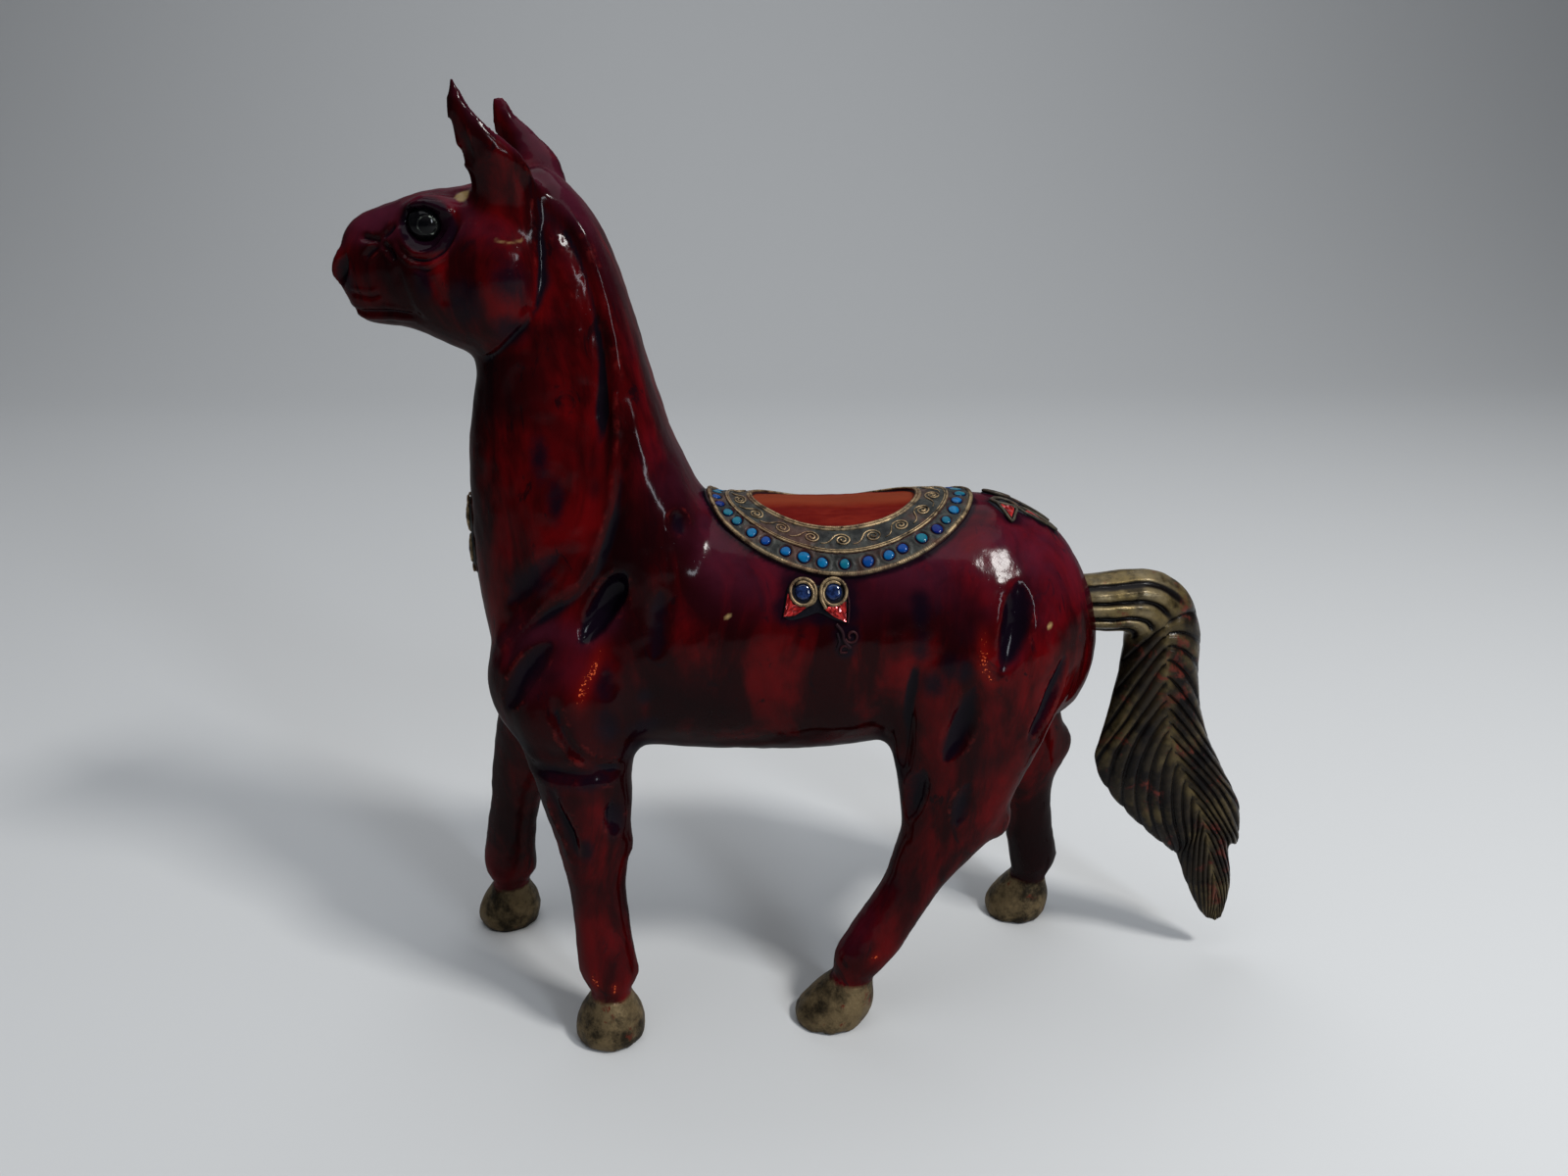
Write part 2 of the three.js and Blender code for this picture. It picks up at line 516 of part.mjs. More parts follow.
const figure = new THREE.Group();
figure.add(named("horse", horse(), 0x4a0a12, 0.3));
figure.add(named("tail", tail(), 0x6b5a2c, 0.45, 0.6));
const [leftEye, rightEye] = eyes();
figure.add(named("left_eye", leftEye, 0x0a0a0c, 0.05));
figure.add(named("right_eye", rightEye, 0x0a0a0c, 0.05));
figure.add(named("saddle_cloth", saddleCloth(), 0x7a6a4a, 0.5, 0.5));
discTurns.forEach((turn, i) => {
  figure.add(named(`glass_${String(i + 1).padStart(2, "0")}`, disc(turn), 0x1488b8, 0.1));
});

const blue = 0x14264a;
const red = 0x9c1218;
function addOrnament(name, { setting, glasses }, colors) {
  figure.add(named(`${name}_setting`, setting, 0x8c7a58, 0.4, 0.7));
  glasses.forEach((glass, i) => figure.add(named(`${name}_glass_${i + 1}`, glass, colors[i], 0.1)));
}
addOrnament("left_bow", bow(onSkin(bowPlace, -bowReach, 0)), [blue, blue, red, red]);
addOrnament("right_bow", bow(onSkin(bowPlace, bowReach, 0)), [blue, blue, red, red]);
addOrnament("left_croup", leafOrnament(onSkin(croupPlace, -croupReach, 0), -1), [red]);
addOrnament("right_croup", leafOrnament(onSkin(croupPlace, croupReach, 0), 1), [red]);
const chest = skinFinder(carcass())(new THREE.Vector3(1, 0, 0), -130, 0, 224);
addOrnament("chest", chestOrnament(chest), [blue, blue]);

// Centre the figure over the origin, with its soles on the floor.
const extent = new THREE.Box3().setFromObject(figure);
const middle = extent.getCenter(new THREE.Vector3());
for (const piece of figure.children) piece.position.set(-middle.x, -middle.y, -extent.min.z);

export default figure;
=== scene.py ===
# A carved and lacquered horse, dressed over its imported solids.
import math

import bmesh
import bpy
import numpy as np
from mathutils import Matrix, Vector, noise
from mathutils.bvhtree import BVHTree


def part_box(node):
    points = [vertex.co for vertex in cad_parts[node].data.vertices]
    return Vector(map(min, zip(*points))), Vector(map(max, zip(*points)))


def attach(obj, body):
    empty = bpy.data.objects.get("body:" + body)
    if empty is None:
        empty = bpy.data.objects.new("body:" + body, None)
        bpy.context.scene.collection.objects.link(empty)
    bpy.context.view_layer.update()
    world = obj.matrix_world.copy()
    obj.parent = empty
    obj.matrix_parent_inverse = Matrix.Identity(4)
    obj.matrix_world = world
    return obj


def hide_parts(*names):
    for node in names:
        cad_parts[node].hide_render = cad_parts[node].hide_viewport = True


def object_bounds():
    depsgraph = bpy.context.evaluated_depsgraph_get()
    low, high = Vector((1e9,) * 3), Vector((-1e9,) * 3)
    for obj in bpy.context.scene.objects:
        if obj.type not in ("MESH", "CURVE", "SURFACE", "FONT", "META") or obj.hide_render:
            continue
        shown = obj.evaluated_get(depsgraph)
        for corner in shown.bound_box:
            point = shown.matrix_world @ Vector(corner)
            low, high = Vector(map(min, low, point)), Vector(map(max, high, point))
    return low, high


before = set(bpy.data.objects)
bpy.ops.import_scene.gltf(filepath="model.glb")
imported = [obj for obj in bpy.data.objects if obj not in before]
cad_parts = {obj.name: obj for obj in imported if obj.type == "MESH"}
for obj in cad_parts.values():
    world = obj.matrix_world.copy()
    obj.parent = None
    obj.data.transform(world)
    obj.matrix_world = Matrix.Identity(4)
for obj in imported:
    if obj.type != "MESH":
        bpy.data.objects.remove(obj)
cadBounds = [list(corner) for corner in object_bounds()]
flanks = ((-1, "left"), (1, "right"))

# Places on the figure are in shares, four-hundredths of its height. X runs from chest to tail, Y to its
# right side and Z up. The left flank is the one the camera sees.
share = (cadBounds[1][2] - cadBounds[0][2]) / 400
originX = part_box("horse")[0].x + 174.37 * share
originY = (cadBounds[0][1] + cadBounds[1][1]) / 2


def spot(x, y, z):
    return Vector((originX + x * share, originY + y * share, z * share))


def toShares(points):
    return (points - np.array([originX, originY, 0])) / share


def toMetres(points):
    return points * share + np.array([originX, originY, 0])


def only(piece):
    bpy.ops.object.select_all(action="DESELECT")
    piece.select_set(True)
    bpy.context.view_layer.objects.active = piece


def newPiece(name, mesh):
    piece = bpy.data.objects.new(name, mesh)
    bpy.context.scene.collection.objects.link(piece)
    return piece


def meshFrom(name, points, faces):
    mesh = bpy.data.meshes.new(name)
    mesh.from_pydata(points, [], faces)
    mesh.update()
    return newPiece(name, mesh)


def cadCopy(node, name):
    piece = newPiece(name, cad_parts[node].data.copy())
    piece.data.materials.clear()
    only(piece)
    bpy.ops.object.mode_set(mode="EDIT")
    bpy.ops.mesh.select_all(action="SELECT")
    bpy.ops.mesh.remove_doubles(threshold=0.00001)
    bpy.ops.mesh.normals_make_consistent(inside=False)
    bpy.ops.object.mode_set(mode="OBJECT")
    return piece


def applied(piece, kind, **values):
    only(piece)
    modifier = piece.modifiers.new(kind.lower(), kind)
    for name, value in values.items():
        setattr(modifier, name, value)
    bpy.ops.object.modifier_apply(modifier=modifier.name)


def facingOut(piece):
    only(piece)
    bpy.ops.object.mode_set(mode="EDIT")
    bpy.ops.mesh.select_all(action="SELECT")
    bpy.ops.mesh.normals_make_consistent(inside=False)
    bpy.ops.object.mode_set(mode="OBJECT")


def softShaded(piece):
    only(piece)
    bpy.ops.object.shade_smooth()


def readPoints(mesh):
    flat = np.empty(len(mesh.vertices) * 3)
    mesh.vertices.foreach_get("co", flat)
    return flat.reshape(-1, 3)


def writePoints(mesh, points):
    mesh.vertices.foreach_set("co", points.astype(np.float32).ravel())
    mesh.update()


def readNormals(mesh):
    flat = np.empty(len(mesh.vertices) * 3, dtype=np.float32)
    mesh.vertex_normals.foreach_get("vector", flat)
    return flat.reshape(-1, 3).astype(float)


def readEdges(mesh):
    flat = np.empty(len(mesh.edges) * 2, dtype=np.int32)
    mesh.edges.foreach_get("vertices", flat)
    return flat.reshape(-1, 2).astype(np.int64)


def averaged(values, edges):
    # each point's value as the mean of its neighbours'
    first, second = edges[:, 0], edges[:, 1]
    count = len(values)
    degree = np.maximum(np.bincount(first, minlength=count) + np.bincount(second, minlength=count), 1)
    columns = values.reshape(count, -1).T
    sums = [np.bincount(first, c[second], count) + np.bincount(second, c[first], count) for c in columns]
    return (np.array(sums) / degree).T.reshape(values.shape)


def smoothed(values, edges, rounds, pull=0.6):
    out = values.copy()
    for _ in range(rounds):
        out += pull * (averaged(out, edges) - out)
    return out


def evened(values, edges, weight, rounds):
    # smooths away steps without drawing the shape in
    out = values.copy()
    for _ in range(rounds):
        out += 0.5 * weight * (averaged(out, edges) - out)
        out -= 0.52 * weight * (averaged(out, edges) - out)
    return out


def addValues(mesh, name, values):
    attribute = mesh.attributes.new(name, "FLOAT", "POINT")
    attribute.data.foreach_set("value", values.astype(np.float32))


def fade(value, low, high):
    t = np.clip((value - low) / (high - low), 0, 1)
    return t * t * (3 - 2 * t)


def roughField(points, scale, seed):
    # gentle unevenness, the same on every run
    offset = Vector((seed * 17.3, seed * 5.1, seed * 9.7))
    return np.array([noise.noise(Vector(p) * scale + offset) for p in points.tolist()])


def curveThrough(points, count):
    # a smooth line of count points through the given ones
    given = np.array(points, float)
    if len(given) < 3:
        steps = np.linspace(0, 1, count)[:, None]
        return given[0] + (given[-1] - given[0]) * steps
    ends = np.vstack([2 * given[0] - given[1], given, 2 * given[-1] - given[-2]])
    places = np.linspace(0, len(given) - 1 - 1e-9, count)
    cell = places.astype(int)
    t = (places - cell)[:, None]
    a, b, c, d = ends[cell], ends[cell + 1], ends[cell + 2], ends[cell + 3]
    return 0.5 * (2 * b + (c - a) * t + (2 * a - 5 * b + 4 * c - d) * t**2 + (3 * b - a - 3 * c + d) * t**3)


# Carving

# A stroke of the carver's tool: its line over the skin of the left flank, half its width, its depth
# (raised where negative), and the lift of its banks.
bodyStrokes = {
    # a leaf-shaped hollow
    "scoop": [
        ([(-66.5, -40, 217.5), (-71.7, -34, 206.4), (-75.9, -35, 199.4), (-83.4, -39, 190.5)],
          6.6, 3.6, 0.7),
        ([(-97.2, -42, 190), (-105.6, -41, 179.3), (-110.9, -41, 170.9), (-116.5, -40, 161.4)],
          5.4, 2.6, 0.5),
        ([(93.4, -41.5, 212), (91.8, -44, 201.3), (90, -46, 191.9), (86.2, -51, 180)], 6.8, 3.2, 0.6),
        ([(114.8, -41, 178.5), (111.2, -43.4, 167.5), (106.6, -45, 157.5), (100.4, -50, 146.5)],
          4.6, 2.8, 0.6),
        ([(74.6, -52, 171), (71.7, -50, 159), (69, -49, 149), (64.8, -51, 138.5)], 5.8, 2.4, 0.5),
        ([(56.4, -48, 131.5), (53.7, -45, 119.3), (50.6, -42, 104.5)], 5.2, 2.2, 0.4),
        ([(74.4, -53, 127.5), (72.8, -53, 118.4), (70.8, -52, 107)], 4.2, 2, 0.4),
        ([(-99, -50, 128), (-96.1, -48, 116.1), (-92.6, -50, 104), (-89.5, -46, 93)], 3.6, 2.6, 0.8),
        ([(-75, -47, 119), (-74.4, -46.5, 111.7), (-74.6, -46, 105)], 4.6, 2, 0.4),
        ([(-74.6, -48, 179), (-75, -48, 169)], 4.6, 1, 0),
        ([(-74.3, -48.5, 160), (-74.4, -49, 151)], 5, 1.2, 0),
        ([(-93.2, -34.8, 224), (-104, -33.5, 214.7), (-114, -28, 203)], 5.5, 1.8, 0),
        ([(-102, -26, 299), (-108.5, -25, 280), (-109.5, -27, 256)], 6.5, 1, 0),
        ([(-92, -33, 262), (-90, -33.5, 245), (-95, -34, 232)], 8, 1.1, 0),
        ([(-51.2, -41.5, 211), (-53, -43, 197), (-54.4, -45, 185)], 4.6, 1.5, 0),
        ([(-56, -45, 172), (-60.5, -44, 162)], 6, 1, 0),
        ([(-47, -30, 240), (-43, -33, 233)], 4.4, 1.6, 0.5),
    ],
    # a narrow cut that fades out at both ends
    "groove": [
        ([(-89, -16.4, 357.5), (-84.8, -20, 351.1), (-80, -22.4, 342.8), (-76.3, -24.6, 333),
          (-73.8, -26.2, 321.7), (-73, -26.7, 313), (-71.8, -27.5, 302), (-71.6, -28.8, 284),
          (-71.8, -30.5, 268)], 4.2, 2.6, 1),
        ([(-89, -19, 345), (-83.5, -22, 336), (-79.2, -24, 325), (-77.6, -24, 313), (-77.4, -25, 298),
          (-78, -27, 282)], 2.2, 0.9, 0.3),
        ([(-97, -50, 170), (-94.6, -50.3, 160), (-90.8, -51.6, 150.5), (-84.8, -51, 143),
          (-75.8, -49, 138), (-67, -41, 133.6)], 2.6, 1.7, 0.5),
        ([(-122, -35, 140), (-113, -41, 137), (-104, -46, 135.8), (-92, -51, 136.2), (-80, -50.5, 135.6),
          (-68, -42, 131.6)], 3.4, 1.7, 0.4),
        ([(51.6, -48, 184), (49.5, -46, 166), (49.4, -44.5, 152), (49, -43.6, 140), (47.6, -41, 126)],
          3.6, 1.4, 0.5),
        ([(99.5, -42, 202), (104.5, -43, 196), (108.4, -43, 188)], 2.6, 0.5, 0.2),
        ([(-90.6, -49, 121), (-87.5, -49, 108), (-84, -47, 97)], 1.6, -0.8, 0),
        ([(-100.5, -42, 184), (-105.2, -41, 176), (-109.6, -41, 168)], 1.3, -0.9, 0),
        ([(-96.5, -25, 326), (-94.5, -24, 312), (-93, -25, 296), (-92, -27, 276)], 7, -0.8, 0),
    ],
    # lower on one side of the line than on the other
    "step": [
        ([(-66.9, -30, 296), (-66.4, -31, 280), (-66.8, -31.8, 266), (-68.6, -32.5, 253),
          (-71.4, -33.2, 241), (-76.8, -34.4, 226), (-80.8, -35.9, 216.3), (-88.5, -36.2, 209.5),
          (-98.5, -34.6, 203.2), (-106.9, -34.1, 195.5), (-115.4, -34.4, 187.3), (-119.6, -34, 180)],
          7, 1.9, 0.7),
        ([(-93, -20.6, 364), (-93.8, -20.4, 350), (-94.2, -22, 338), (-95.2, -25.1, 326),
          (-98.4, -25, 318), (-105.5, -22.2, 311), (-113, -17.7, 304.6), (-120, -12.4, 300.8)],
          5, 1.9, 0.4),
    ],
}
headStrokes = {
    "groove": [
        ([(-159.6, -13.4, 345.3), (-156, -15, 344.9), (-151.5, -17.2, 344.3)], 1.4, 1.3, 0.5),
        ([(-151.5, -16.7, 345.2), (-148.3, -16.8, 347.3), (-145.6, -16.4, 350.4)], 1.4, 1.4, 0.5),
        ([(-158.8, -16.6, 338), (-155.8, -17.2, 341), (-152.6, -17.6, 342.9)], 1.4, 1.4, 0.5),
        ([(-150.6, -18.1, 343.5), (-148.3, -19.8, 341.1), (-146.2, -21, 337.6)], 1.4, 1.3, 0.5),
        ([(-145.2, -20.6, 345.2), (-143.6, -21.6, 342), (-138.4, -24, 338.4), (-132.4, -25.4, 338.6),
          (-126.9, -25, 342), (-123.2, -24, 347.6), (-121, -23, 353)], 1.4, 1.6, 0.6),
        ([(-140.6, -24, 335.6), (-133.5, -26, 334.8), (-126, -26.6, 338)], 1.4, 0.8, 0.3),
        ([(-167.5, -13, 324.8), (-164, -14.6, 324.7), (-158.8, -16.4, 323.9), (-154, -17.6, 325.4)],
          1.2, 0.8, 0.4),
        ([(-171, -5, 318.6), (-165.5, -8.6, 318.2), (-158.2, -12.4, 318.3), (-151.8, -14.6, 318.3),
          (-144.3, -17, 317.8), (-140.6, -18.6, 317)], 1.5, 1.3, 0.5),
        ([(-145.7, -21.2, 336), (-145.2, -21.6, 328.8), (-142.8, -20.3, 320), (-138.7, -18.8, 313.9)],
          2.4, 0.6, 0.2),
        ([(-135.4, -25, 336), (-131.6, -26.8, 329.2), (-128.4, -26.2, 321)], 2.8, 0.6, 0.2),
        ([(-140, -20, 360.6), (-136, -20.6, 362.6), (-131, -21.4, 362.2), (-126, -22, 359.6)],
          1.2, 0.6, 0.2),
    ],
    "scoop": [
        ([(-166.4, -13, 338.6), (-168.6, -12.6, 334.6), (-170.8, -10.4, 330.4), (-171.6, -9.4, 327.6)],
          3.2, 3, 0.8),
        ([(-112.4, -29, 380), (-113.2, -28, 372.5)], 3.4, 0.6, 0),
        ([(-118.3, -26, 388), (-116.5, -25.5, 380), (-113.8, -24, 371)], 3, 1.8, 0.5),
    ],
}
# Raised folds: the brow over the eye, the lid under it, the nostril and the lips.
headRidges = [
    ([(-142.6, -19.6, 354.6), (-139.6, -21, 357.2), (-136, -21.8, 358.2), (-132, -22.4, 358),
      (-127.4, -23.2, 356.2), (-122.6, -23, 354.6)], 1.9, 1.5),
    ([(-144.6, -20.6, 344.4), (-142, -22.2, 341.2), (-137.7, -24, 340.2), (-132.4, -24.6, 341),
      (-128, -23.4, 343.8), (-124.8, -22.8, 348)], 1.2, 0.9),
    ([(-168, -9, 341), (-171.6, -9.2, 338.4), (-173.4, -7.4, 334.6), (-172.4, -8.4, 330.6)], 2.2, 0.7),
    ([(-168.4, -10, 321.6), (-160, -14.4, 321.2), (-152, -16.4, 320.8), (-145, -18.4, 320)], 1.5, 0.5),
    ([(-166, -7, 314.8), (-158, -11.4, 315.2), (-150, -14, 315), (-144, -16.4, 314.6)], 1.4, 0.5),
]


def nearestOn(points, normals, line):
    # distance to a line along the skin, share of the way along it, and which side of it
    line = np.array(line)
    lengths = np.linalg.norm(np.diff(line, axis=0), axis=1)
    starts = np.concatenate([[0], np.cumsum(lengths)])
    best = np.full(len(points), np.inf)
    along = np.zeros(len(points))
    side = np.zeros(len(points))
    for i in range(len(line) - 1):
        heading = (line[i + 1] - line[i]) / lengths[i]
        t = np.clip((points - line[i]) @ heading, 0, lengths[i])
        away = points - line[i] - t[:, None] * heading
        away -= np.sum(away * normals, axis=1)[:, None] * normals
        distance = np.linalg.norm(away, axis=1)
        closer = distance < best
        best[closer] = distance[closer]
        along[closer] = (starts[i] + t[closer]) / starts[-1]
        side[closer] = np.sign(np.cross(heading, away[closer])[:, 1])
    return best, along, side


def strokeLift(kind, distance, along, side, half, deep, bank):
    # how far the skin rises, or sinks where negative, beside a stroke
    ends = np.clip(1 - (2 * along - 1) ** 2, 0, 1)
    if kind == "scoop":
        width = half * np.maximum(ends, 0.02) ** 0.35
        t = distance / width
        cut = np.clip(1 - (t / 1.15) ** 2, 0, 1) ** 1.4
        return -deep * cut * (0.35 + 0.65 * ends) + bank * np.exp(-(((t - 1.18) / 0.22) ** 2)) * ends**0.3
    taper = np.clip(ends * 2.2, 0, 1)
    t = distance / half
    if kind == "groove":
        return taper * (-deep * np.exp(-1.6 * t * t) + bank * np.exp(-(((t - 1.5) / 0.55) ** 2)))
    low = 1 - fade(side * t, -0.4, 0.12)
    falling = -deep * np.exp(-1.1 * t * t) * low
    rising = bank * np.exp(-3 * t * t) * (1 - low)
    return np.clip(ends * 4, 0, 1) * (falling + rising)


def carve(points, normals, strokes, flank):
    # the lift of all strokes on one flank; the right one repeats the left
    lift = np.zeros(len(points))
    mirror = np.array([1, -flank, 1])
    for kind, made in strokes.items():
        for line, half, deep, bank in made:
            path = curveThrough(np.array(line) * mirror, 4 * len(line))
            reach = 3.2 * half
            near = np.all((points > path.min(0) - reach) & (points < path.max(0) + reach), axis=1)
            near &= normals[:, 1] * flank > -0.35
            if not near.any():
                continue
            distance, along, side = nearestOn(points[near], normals[near], path)
            lift[near] += strokeLift(kind, distance, along, side, half, deep, bank)
    return lift


horseShape = {
    "voxel": 1.88, "headVoxelCuts": 1, "trunkRounds": 32, "headRounds": 5, "earRounds": 10, "evenRounds": 70,
    "browEven": 0.25, "earRootEven": 0.92, "noiseHeight": 0.22, "softening": 0.25, "earTipLift": 1.9,
    "noseEnd": 173.2, "noseRoll": 1.1, "hoofTop": 22.5,
}
horse = cadCopy("horse", "carved_horse")
applied(horse, "REMESH", mode="VOXEL", voxel_size=horseShape["voxel"] * share, use_smooth_shade=True)


def keptSharp(points):
    # how much the faceted solid is smoothed at each place: most on the trunk, least on ears and hooves
    x, y, z = points.T
    weight = np.interp(z, [22, 32, 90, 135], [0.1, 0.24, 0.3, 1])
    head = fade(-x, 84, 96) * fade(z, 292, 312)
    weight = weight * (1 - head) + 0.24 * head
    ears = fade(z, 361, 370) * fade(-x, 84, 92)
    weight = weight * (1 - ears) + 0.1 * ears
    muzzle = fade(-x, 156, 164)
    return weight * (1 - muzzle) + 0.16 * muzzle


edges = readEdges(horse.data)
points = toShares(readPoints(horse.data))
weight = keptSharp(points)[:, None]
for _ in range(horseShape["trunkRounds"]):
    points += 0.6 * weight * (averaged(points, edges) - points)
writePoints(horse.data, toMetres(points))
print("horse skin", len(points), flush=True)

# The head is finer than the rest.
shape = bmesh.new()
shape.from_mesh(horse.data)
headEdges = []
for edge in shape.edges:
    ends = [toShares(np.array(v.co)) for v in edge.verts]
    if all((p[0] < -98 and p[2] > 300) or (p[0] < -100 and p[2] > 360) for p in ends):
        headEdges.append(edge)
bmesh.ops.subdivide_edges(shape, edges=headEdges, cuts=horseShape["headVoxelCuts"], use_grid_fill=True,
                          smooth=0)
shape.to_mesh(horse.data)
shape.free()

edges = readEdges(horse.data)
points = toShares(readPoints(horse.data))
isHead = (fade(-points[:, 0], 96, 104) * fade(points[:, 2], 298, 306))[:, None]
for _ in range(horseShape["headRounds"]):
    points += 0.5 * isHead * (averaged(points, edges) - points)
isEar = (fade(points[:, 2], 358, 366) * fade(-points[:, 0], 82, 88))[:, None]
points = evened(points, edges, isEar, horseShape["earRounds"])
browGap = np.linalg.norm((points - [-143, 0, 357]) * [1, 0, 1], axis=1)
isBrow = (1 - fade(browGap, 7, 14)) * fade(np.abs(points[:, 1]), 6, 10)
rootGap = np.linalg.norm((points - [-103, 0, 358]) * [1, 0, 1], axis=1)
isRoot = (1 - fade(rootGap, 9, 19)) * fade(np.abs(points[:, 1]), 10, 14)
even = smoothed(points, edges, horseShape["evenRounds"])
evening = np.maximum(horseShape["browEven"] * isBrow, horseShape["earRootEven"] * isRoot)
points += evening[:, None] * (even - points)
writePoints(horse.data, toMetres(points))
normals = smoothed(readNormals(horse.data), edges, 3)
normals /= np.linalg.norm(normals, axis=1)[:, None]
lift = np.zeros(len(points))
for flank in (-1, 1):
    lift += carve(points, normals, bodyStrokes, flank)
    lift += carve(points, normals, headStrokes, flank)
    for line, half, rise in headRidges:
        lift += carve(points, normals, {"groove": [(line, half, -rise, 0)]}, flank)
lift += horseShape["noiseHeight"] * roughField(points, 0.07, 1) * 2
lift += horseShape["noiseHeight"] * roughField(points, 0.2, 2)
points += normals * lift[:, None]
points += horseShape["softening"] * (averaged(points, edges) - points)
# the soles stay on the floor, the ear tips reach the solid's height, and the nose rolls off inside its box
points[:, 2] = np.maximum(points[:, 2], 0) + horseShape["earTipLift"] * fade(points[:, 2], 386, 398)
past = np.minimum(points[:, 0] + horseShape["noseEnd"], 0)
points[:, 0] += horseShape["noseRoll"] * (np.exp(past / horseShape["noseRoll"]) - 1) - past
writePoints(horse.data, toMetres(points))
softShaded(horse)
print("horse carved", len(points), len(horse.data.loops), flush=True)

# What the finish follows: hollows and crests, upward faces, hooves, the seat, and worn or scratched places;
# hollows and upward faces also carry painted shade and sheen.
normals = smoothed(readNormals(horse.data), edges, 2)
broad = smoothed(points, edges, 28)
close = smoothed(points, edges, 4)
hollow = np.sum((broad - points) * normals, axis=1)
crest = -np.sum((close - points) * normals, axis=1)
addValues(horse.data, "hollow", hollow)
addValues(horse.data, "crest", crest)
addValues(horse.data, "upward", smoothed(normals[:, 2], edges, 8))
hoofEdge = horseShape["hoofTop"] + 1.4 * roughField(points, 0.22, 3)
addValues(horse.data, "hoof", 1 - fade(points[:, 2], hoofEdge - 0.7, hoofEdge + 0.7))
addValues(horse.data, "ridge", 1 - fade(np.abs(points[:, 1]), 2, 15))
fromSeat = np.hypot((points[:, 0] - 21) / 36, points[:, 1] / 26.5)
addValues(horse.data, "seat", fade(points[:, 2], 200, 215) * (1 - fade(fromSeat, 0.9, 1.12)))
wearLines = [  # a line on the left flank and half its width
    ([(-75.6, -42, 191), (-78.3, -43.6, 181.7), (-83, -47.6, 174.1), (-85.9, -49.1, 162.7)], 2.9),
    ([(77.4, -50, 197), (77.7, -51.3, 189.2), (78, -52.5, 181), (80.3, -54.1, 176.6), (84, -54, 171)], 2.5),
    ([(-88, -57, 40), (-87, -57, 34), (-86, -57, 29)], 3),
    ([(-76, -58, 34), (-76, -58, 27)], 2.4),
    ([(40, -52, 42), (36, -52, 36)], 2.6),
]
worn = np.zeros(len(points))
for line, half in wearLines:
    path = curveThrough(line, 16)
    distance, along = nearestOn(points, normals, path)[:2]
    reached = (points[:, 1] < -20) & (np.abs(points[:, 2] - path[:, 2].mean()) < 40)
    fading = np.clip(4 * along * (1 - along) + 0.25, 0, 1) * reached
    worn = np.maximum(worn, np.exp(-((distance / half) ** 2)) * fading)
addValues(horse.data, "worn", worn)
# chips that bare the ground, each a place and a size, and one thin scratch on the cheek
chipPlaces = [((-120.6, -17, 361.5), 2.8), ((106.6, -43.4, 194.3), 1.3), ((-24.7, -43.5, 201.8), 0.6)]
chips = np.zeros(len(points))
for place, size in chipPlaces:
    gap = np.linalg.norm((points - np.array(place)) * [1, 0.6, 0.75], axis=1) / size
    chips = np.maximum(chips, 1 - fade(gap, 0.75, 1.1))
scratchLine = curveThrough([(-107.8, -27, 345.4), (-103.7, -27, 344.4), (-98.6, -25, 345)], 8)
scratch = nearestOn(points, normals, scratchLine)[0]
onCheek = (points[:, 1] < 0) * (points[:, 2] > 338)
chips = np.maximum(chips, 0.42 * np.exp(-((scratch / 0.32) ** 2)) * onCheek)
addValues(horse.data, "chip", chips)


# Materials

class Graph:
    def __init__(self, tree):
        self.tree = tree
        self.output = tree.nodes.new("ShaderNodeOutputMaterial")
        self.coordinates = tree.nodes.new("ShaderNodeTexCoord").outputs["Object"]

    def link(self, source, socket):
        if isinstance(source, bpy.types.NodeSocket):
            self.tree.links.new(source, socket)
        elif isinstance(source, tuple):
            socket.default_value = (*source, 1.0)
        else:
            socket.default_value = source

    def made(self, kind, **inputs):
        node = self.tree.nodes.new("ShaderNode" + kind)
        for name, source in inputs.items():
            self.link(source, node.inputs[name.replace("_", " ")])
        return node

    def stretched(self, x, y, z):
        node = self.made("Mapping", Vector=self.coordinates)
        node.inputs["Scale"].default_value = (x, y, z)
        return node.outputs[0]

    def noise(self, scale, detail=4.0, rough=0.55, vector=None, warp=0.0):
        node = self.made("TexNoise", Vector=vector or self.coordinates, Scale=scale, Detail=detail,
                         Roughness=rough, Distortion=warp)
        return node.outputs["Fac"]

    def value(self, name):
        node = self.made("Attribute")
        node.attribute_name = name
        return node.outputs["Fac"]

    def ranged(self, source, low, high, start=0.0, end=1.0):
        node = self.made("MapRange")
        node.interpolation_type = "SMOOTHSTEP"
        self.link(source, node.inputs["Value"])
        for name, limit in (("From Min", low), ("From Max", high), ("To Min", start), ("To Max", end)):
            self.link(limit, node.inputs[name])
        return node.outputs[0]

    def mottled(self, low, high, scale, detail=4.0, rough=0.55, start=0.0, end=1.0):
        # patches of a noise, soft between low and high
        return self.ranged(self.noise(scale, detail, rough), low, high, start, end)

    def math(self, operation, first, second):
        node = self.made("Math")
        node.operation = operation
        self.link(first, node.inputs[0])
        self.link(second, node.inputs[1])
        return node.outputs[0]

    def times(self, first, second):
        return self.math("MULTIPLY", first, second)

    def mixed(self, factor, first, second):
        node = self.made("Mix")
        node.data_type = "RGBA"
        self.link(factor, node.inputs["Factor"])
        self.link(first, node.inputs["A"])
        self.link(second, node.inputs["B"])
        return node.outputs["Result"]

    def bump(self, height, distance, strength=1.0, under=None):
        node = self.made("Bump", Height=height, Distance=distance, Strength=strength)
        if under is not None:
            self.link(under, node.inputs["Normal"])
        return node.outputs[0]

    def principled(self, **inputs):
        self.link(self.made("BsdfPrincipled", **inputs).outputs[0], self.output.inputs["Surface"])


def surface(name):
    made = bpy.data.materials.new(name)
    made.use_nodes = True
    made.node_tree.nodes.clear()
    return made, Graph(made.node_tree)


